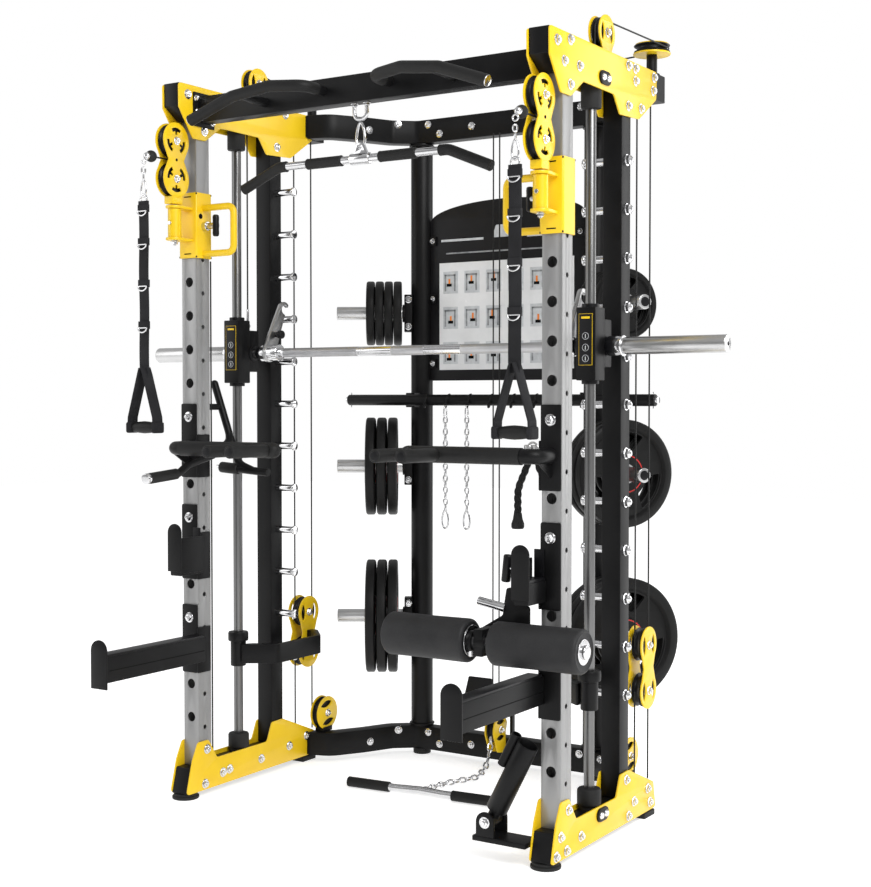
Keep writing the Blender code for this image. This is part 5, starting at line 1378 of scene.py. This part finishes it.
def side_lever(side):
    """Bent black lever behind the left upright, with a foam grip on each of its two ends."""
    shape = Shape("spare_handle", side)
    lever = rounded(((0.660, 0.140, 1.300), (0.592, 0.140, 1.120), (0.572, 0.030, 1.076),
                     (0.560, -0.095, 1.052), (0.560, -0.140, 1.026), (0.560, -0.270, 1.016)),
                    0.05, 8)
    cross = rounded(((0.596, 0.140, 1.130), (0.560, 0.140, 1.045), (0.500, 0.140, 1.024),
                     (0.440, 0.140, 1.020)), 0.05, 8)
    for route in (lever, cross):
        shape.tube(route, 0.0120, "black", 20)
    shape.ball(lever[0], 0.0120, "black")
    shape.tube(part_of(lever, lambda p: p.y < -0.150), 0.0165, "grip", 28)
    tip = lever[-1]
    for start, end, *look in (
            ((0.664, 0.0602, 1.226), (0.632, 0.140, 1.226), 0.0100, "black", 0.0012, 20),
            (tip, tip + Vector((0, -0.014, -0.001)), 0.0165, "chrome", 0.002, 28),
            ((0.600, 0.140, 1.031), (0.440, 0.140, 1.020), 0.0125, "black", 0.002, 20),
            ((0.634, 0.140, 1.033), (0.560, 0.140, 1.028), 0.0175, "grip", 0.005, 28),
            ((0.652, 0.140, 1.034), (0.633, 0.140, 1.033), 0.0060, "chrome", 0.001, 16)):
        shape.rod(start, end, *look)
    shape.place("frame")


# ---------------------------------------------------------------- stage, light and camera

def stage():
    """White floor that glows a little, so that it meets the white background without a seam."""
    bm = bmesh.new()
    bmesh.ops.create_grid(bm, x_segments=2, y_segments=2, size=14.0)
    mesh = bpy.data.meshes.new("floor")
    bm.to_mesh(mesh)
    bm.free()
    floor = bpy.data.objects.new("floor", mesh)
    bpy.context.scene.collection.objects.link(floor)
    mat = painted("studio floor", 0.88, 0.91, (0.50, 0.60), grain=60.0, bump=0.0)
    lit = mat.node_tree.nodes["Principled BSDF"]
    lit.inputs["Emission Color"].default_value = (1.0, 1.0, 1.0, 1.0)
    lit.inputs["Emission Strength"].default_value = 0.60
    mesh.materials.append(mat)
    bpy.context.scene.world = studio()
    bpy.context.scene.view_settings.view_transform = "Standard"


def studio():
    """White to the camera, and a dim room with bright bands for the light and the gloss."""
    world = bpy.data.worlds.new("studio")
    world.use_nodes = True
    tree = world.node_tree
    link, room = tree.links.new, tree.nodes["Background"]
    parts = node(tree, "SeparateXYZ")
    link(node(tree, "TexCoord").outputs["Generated"], parts.inputs["Vector"])
    blend = node(tree, "Mix", {"Factor": 0.5}, data_type="RGBA")
    bands = (("Z", 6, ((0.0, 0.34), (0.46, 0.30), (0.56, 0.42), (0.80, 1.0))),
             ("X", 7, ((0.0, 1.0), (0.22, 0.25), (0.46, 0.30), (0.58, 1.0), (0.70, 0.35),
                       (1.0, 0.8))))
    for axis, socket, stops in bands:
        spread = node(tree, "MapRange", {"From Min": -1.0})
        link(parts.outputs[axis], spread.inputs["Value"])
        link(ramp(tree, spread.outputs["Result"], stops), blend.inputs[socket])
    link(blend.outputs[2], room.inputs["Color"])
    room.inputs["Strength"].default_value = 0.85
    white = node(tree, "Background", {"Color": (1.0, 1.0, 1.0, 1.0)})
    choice = node(tree, "MixShader")
    link(node(tree, "LightPath").outputs["Is Camera Ray"], choice.inputs["Fac"])
    link(room.outputs["Background"], choice.inputs[1])
    link(white.outputs["Background"], choice.inputs[2])
    link(choice.outputs["Shader"], tree.nodes["World Output"].inputs["Surface"])
    return world


def lamp(name, place, aim, size, power):
    data = bpy.data.lights.new(name, "AREA")
    data.shape = "RECTANGLE"
    data.size, data.size_y = size
    data.energy = power
    obj = bpy.data.objects.new(name, data)
    obj.location = place
    way = Vector(aim) - Vector(place)
    obj.rotation_euler = way.to_track_quat("-Z", "Y").to_euler()
    bpy.context.scene.collection.objects.link(obj)


def camera():
    data = bpy.data.cameras.new("camera")
    data.lens, data.sensor_width = 59.66, 36.0
    obj = bpy.data.objects.new("camera", data)
    obj.location = TO_ROW @ Vector((2.4868, -3.4661, 1.2525))
    obj.rotation_euler = (radians(88.25), 0.0, radians(32.57))
    bpy.context.scene.collection.objects.link(obj)
    bpy.context.scene.camera = obj


# ---------------------------------------------------------------- assembly

camera()
stage()
lamp("key", (3.8, -2.2, 4.2), (0.0, 0.0, 1.1), (2.6, 2.6), 190.0)
lamp("fill", (-3.6, -2.6, 2.6), (0.0, 0.0, 1.0), (2.4, 2.8), 36.0)
lamp("side", (3.4, 4.2, 2.2), (0.0, 0.0, 1.2), (2.4, 3.4), 75.0)

for label, side in SIDES:
    for build in (front_upright, rear_upright, outer_gussets, base_beam, top_beam, guide_rod,
                  rear_column):
        build(label, side)
    for spec in STACKS:
        weight_plates(label, side, spec)
    for build in (smith_carriage, lift_carriage, pulley_carriage, pop_pin, swivel_bracket,
                  swivel_pulleys, hand_strap, front_cables, smith_cable, spotter_arm, j_cup,
                  dip_handle):
        build(label, side)
rear_tie("base_tie", 0.020, 0.100, "rear_base_crossmember")
rear_tie("head_tie", BEAM_LOW, BEAM_TOP, "rear_top_crossmember")
for build in (sign_panel, storage_bar, pull_up_bar, smith_bar, roller_bracket, foam_rollers,
              landmine_socket, lat_bar, row_bar, triceps_rope, middle_cable):
    build()
side_lever(-1.0)
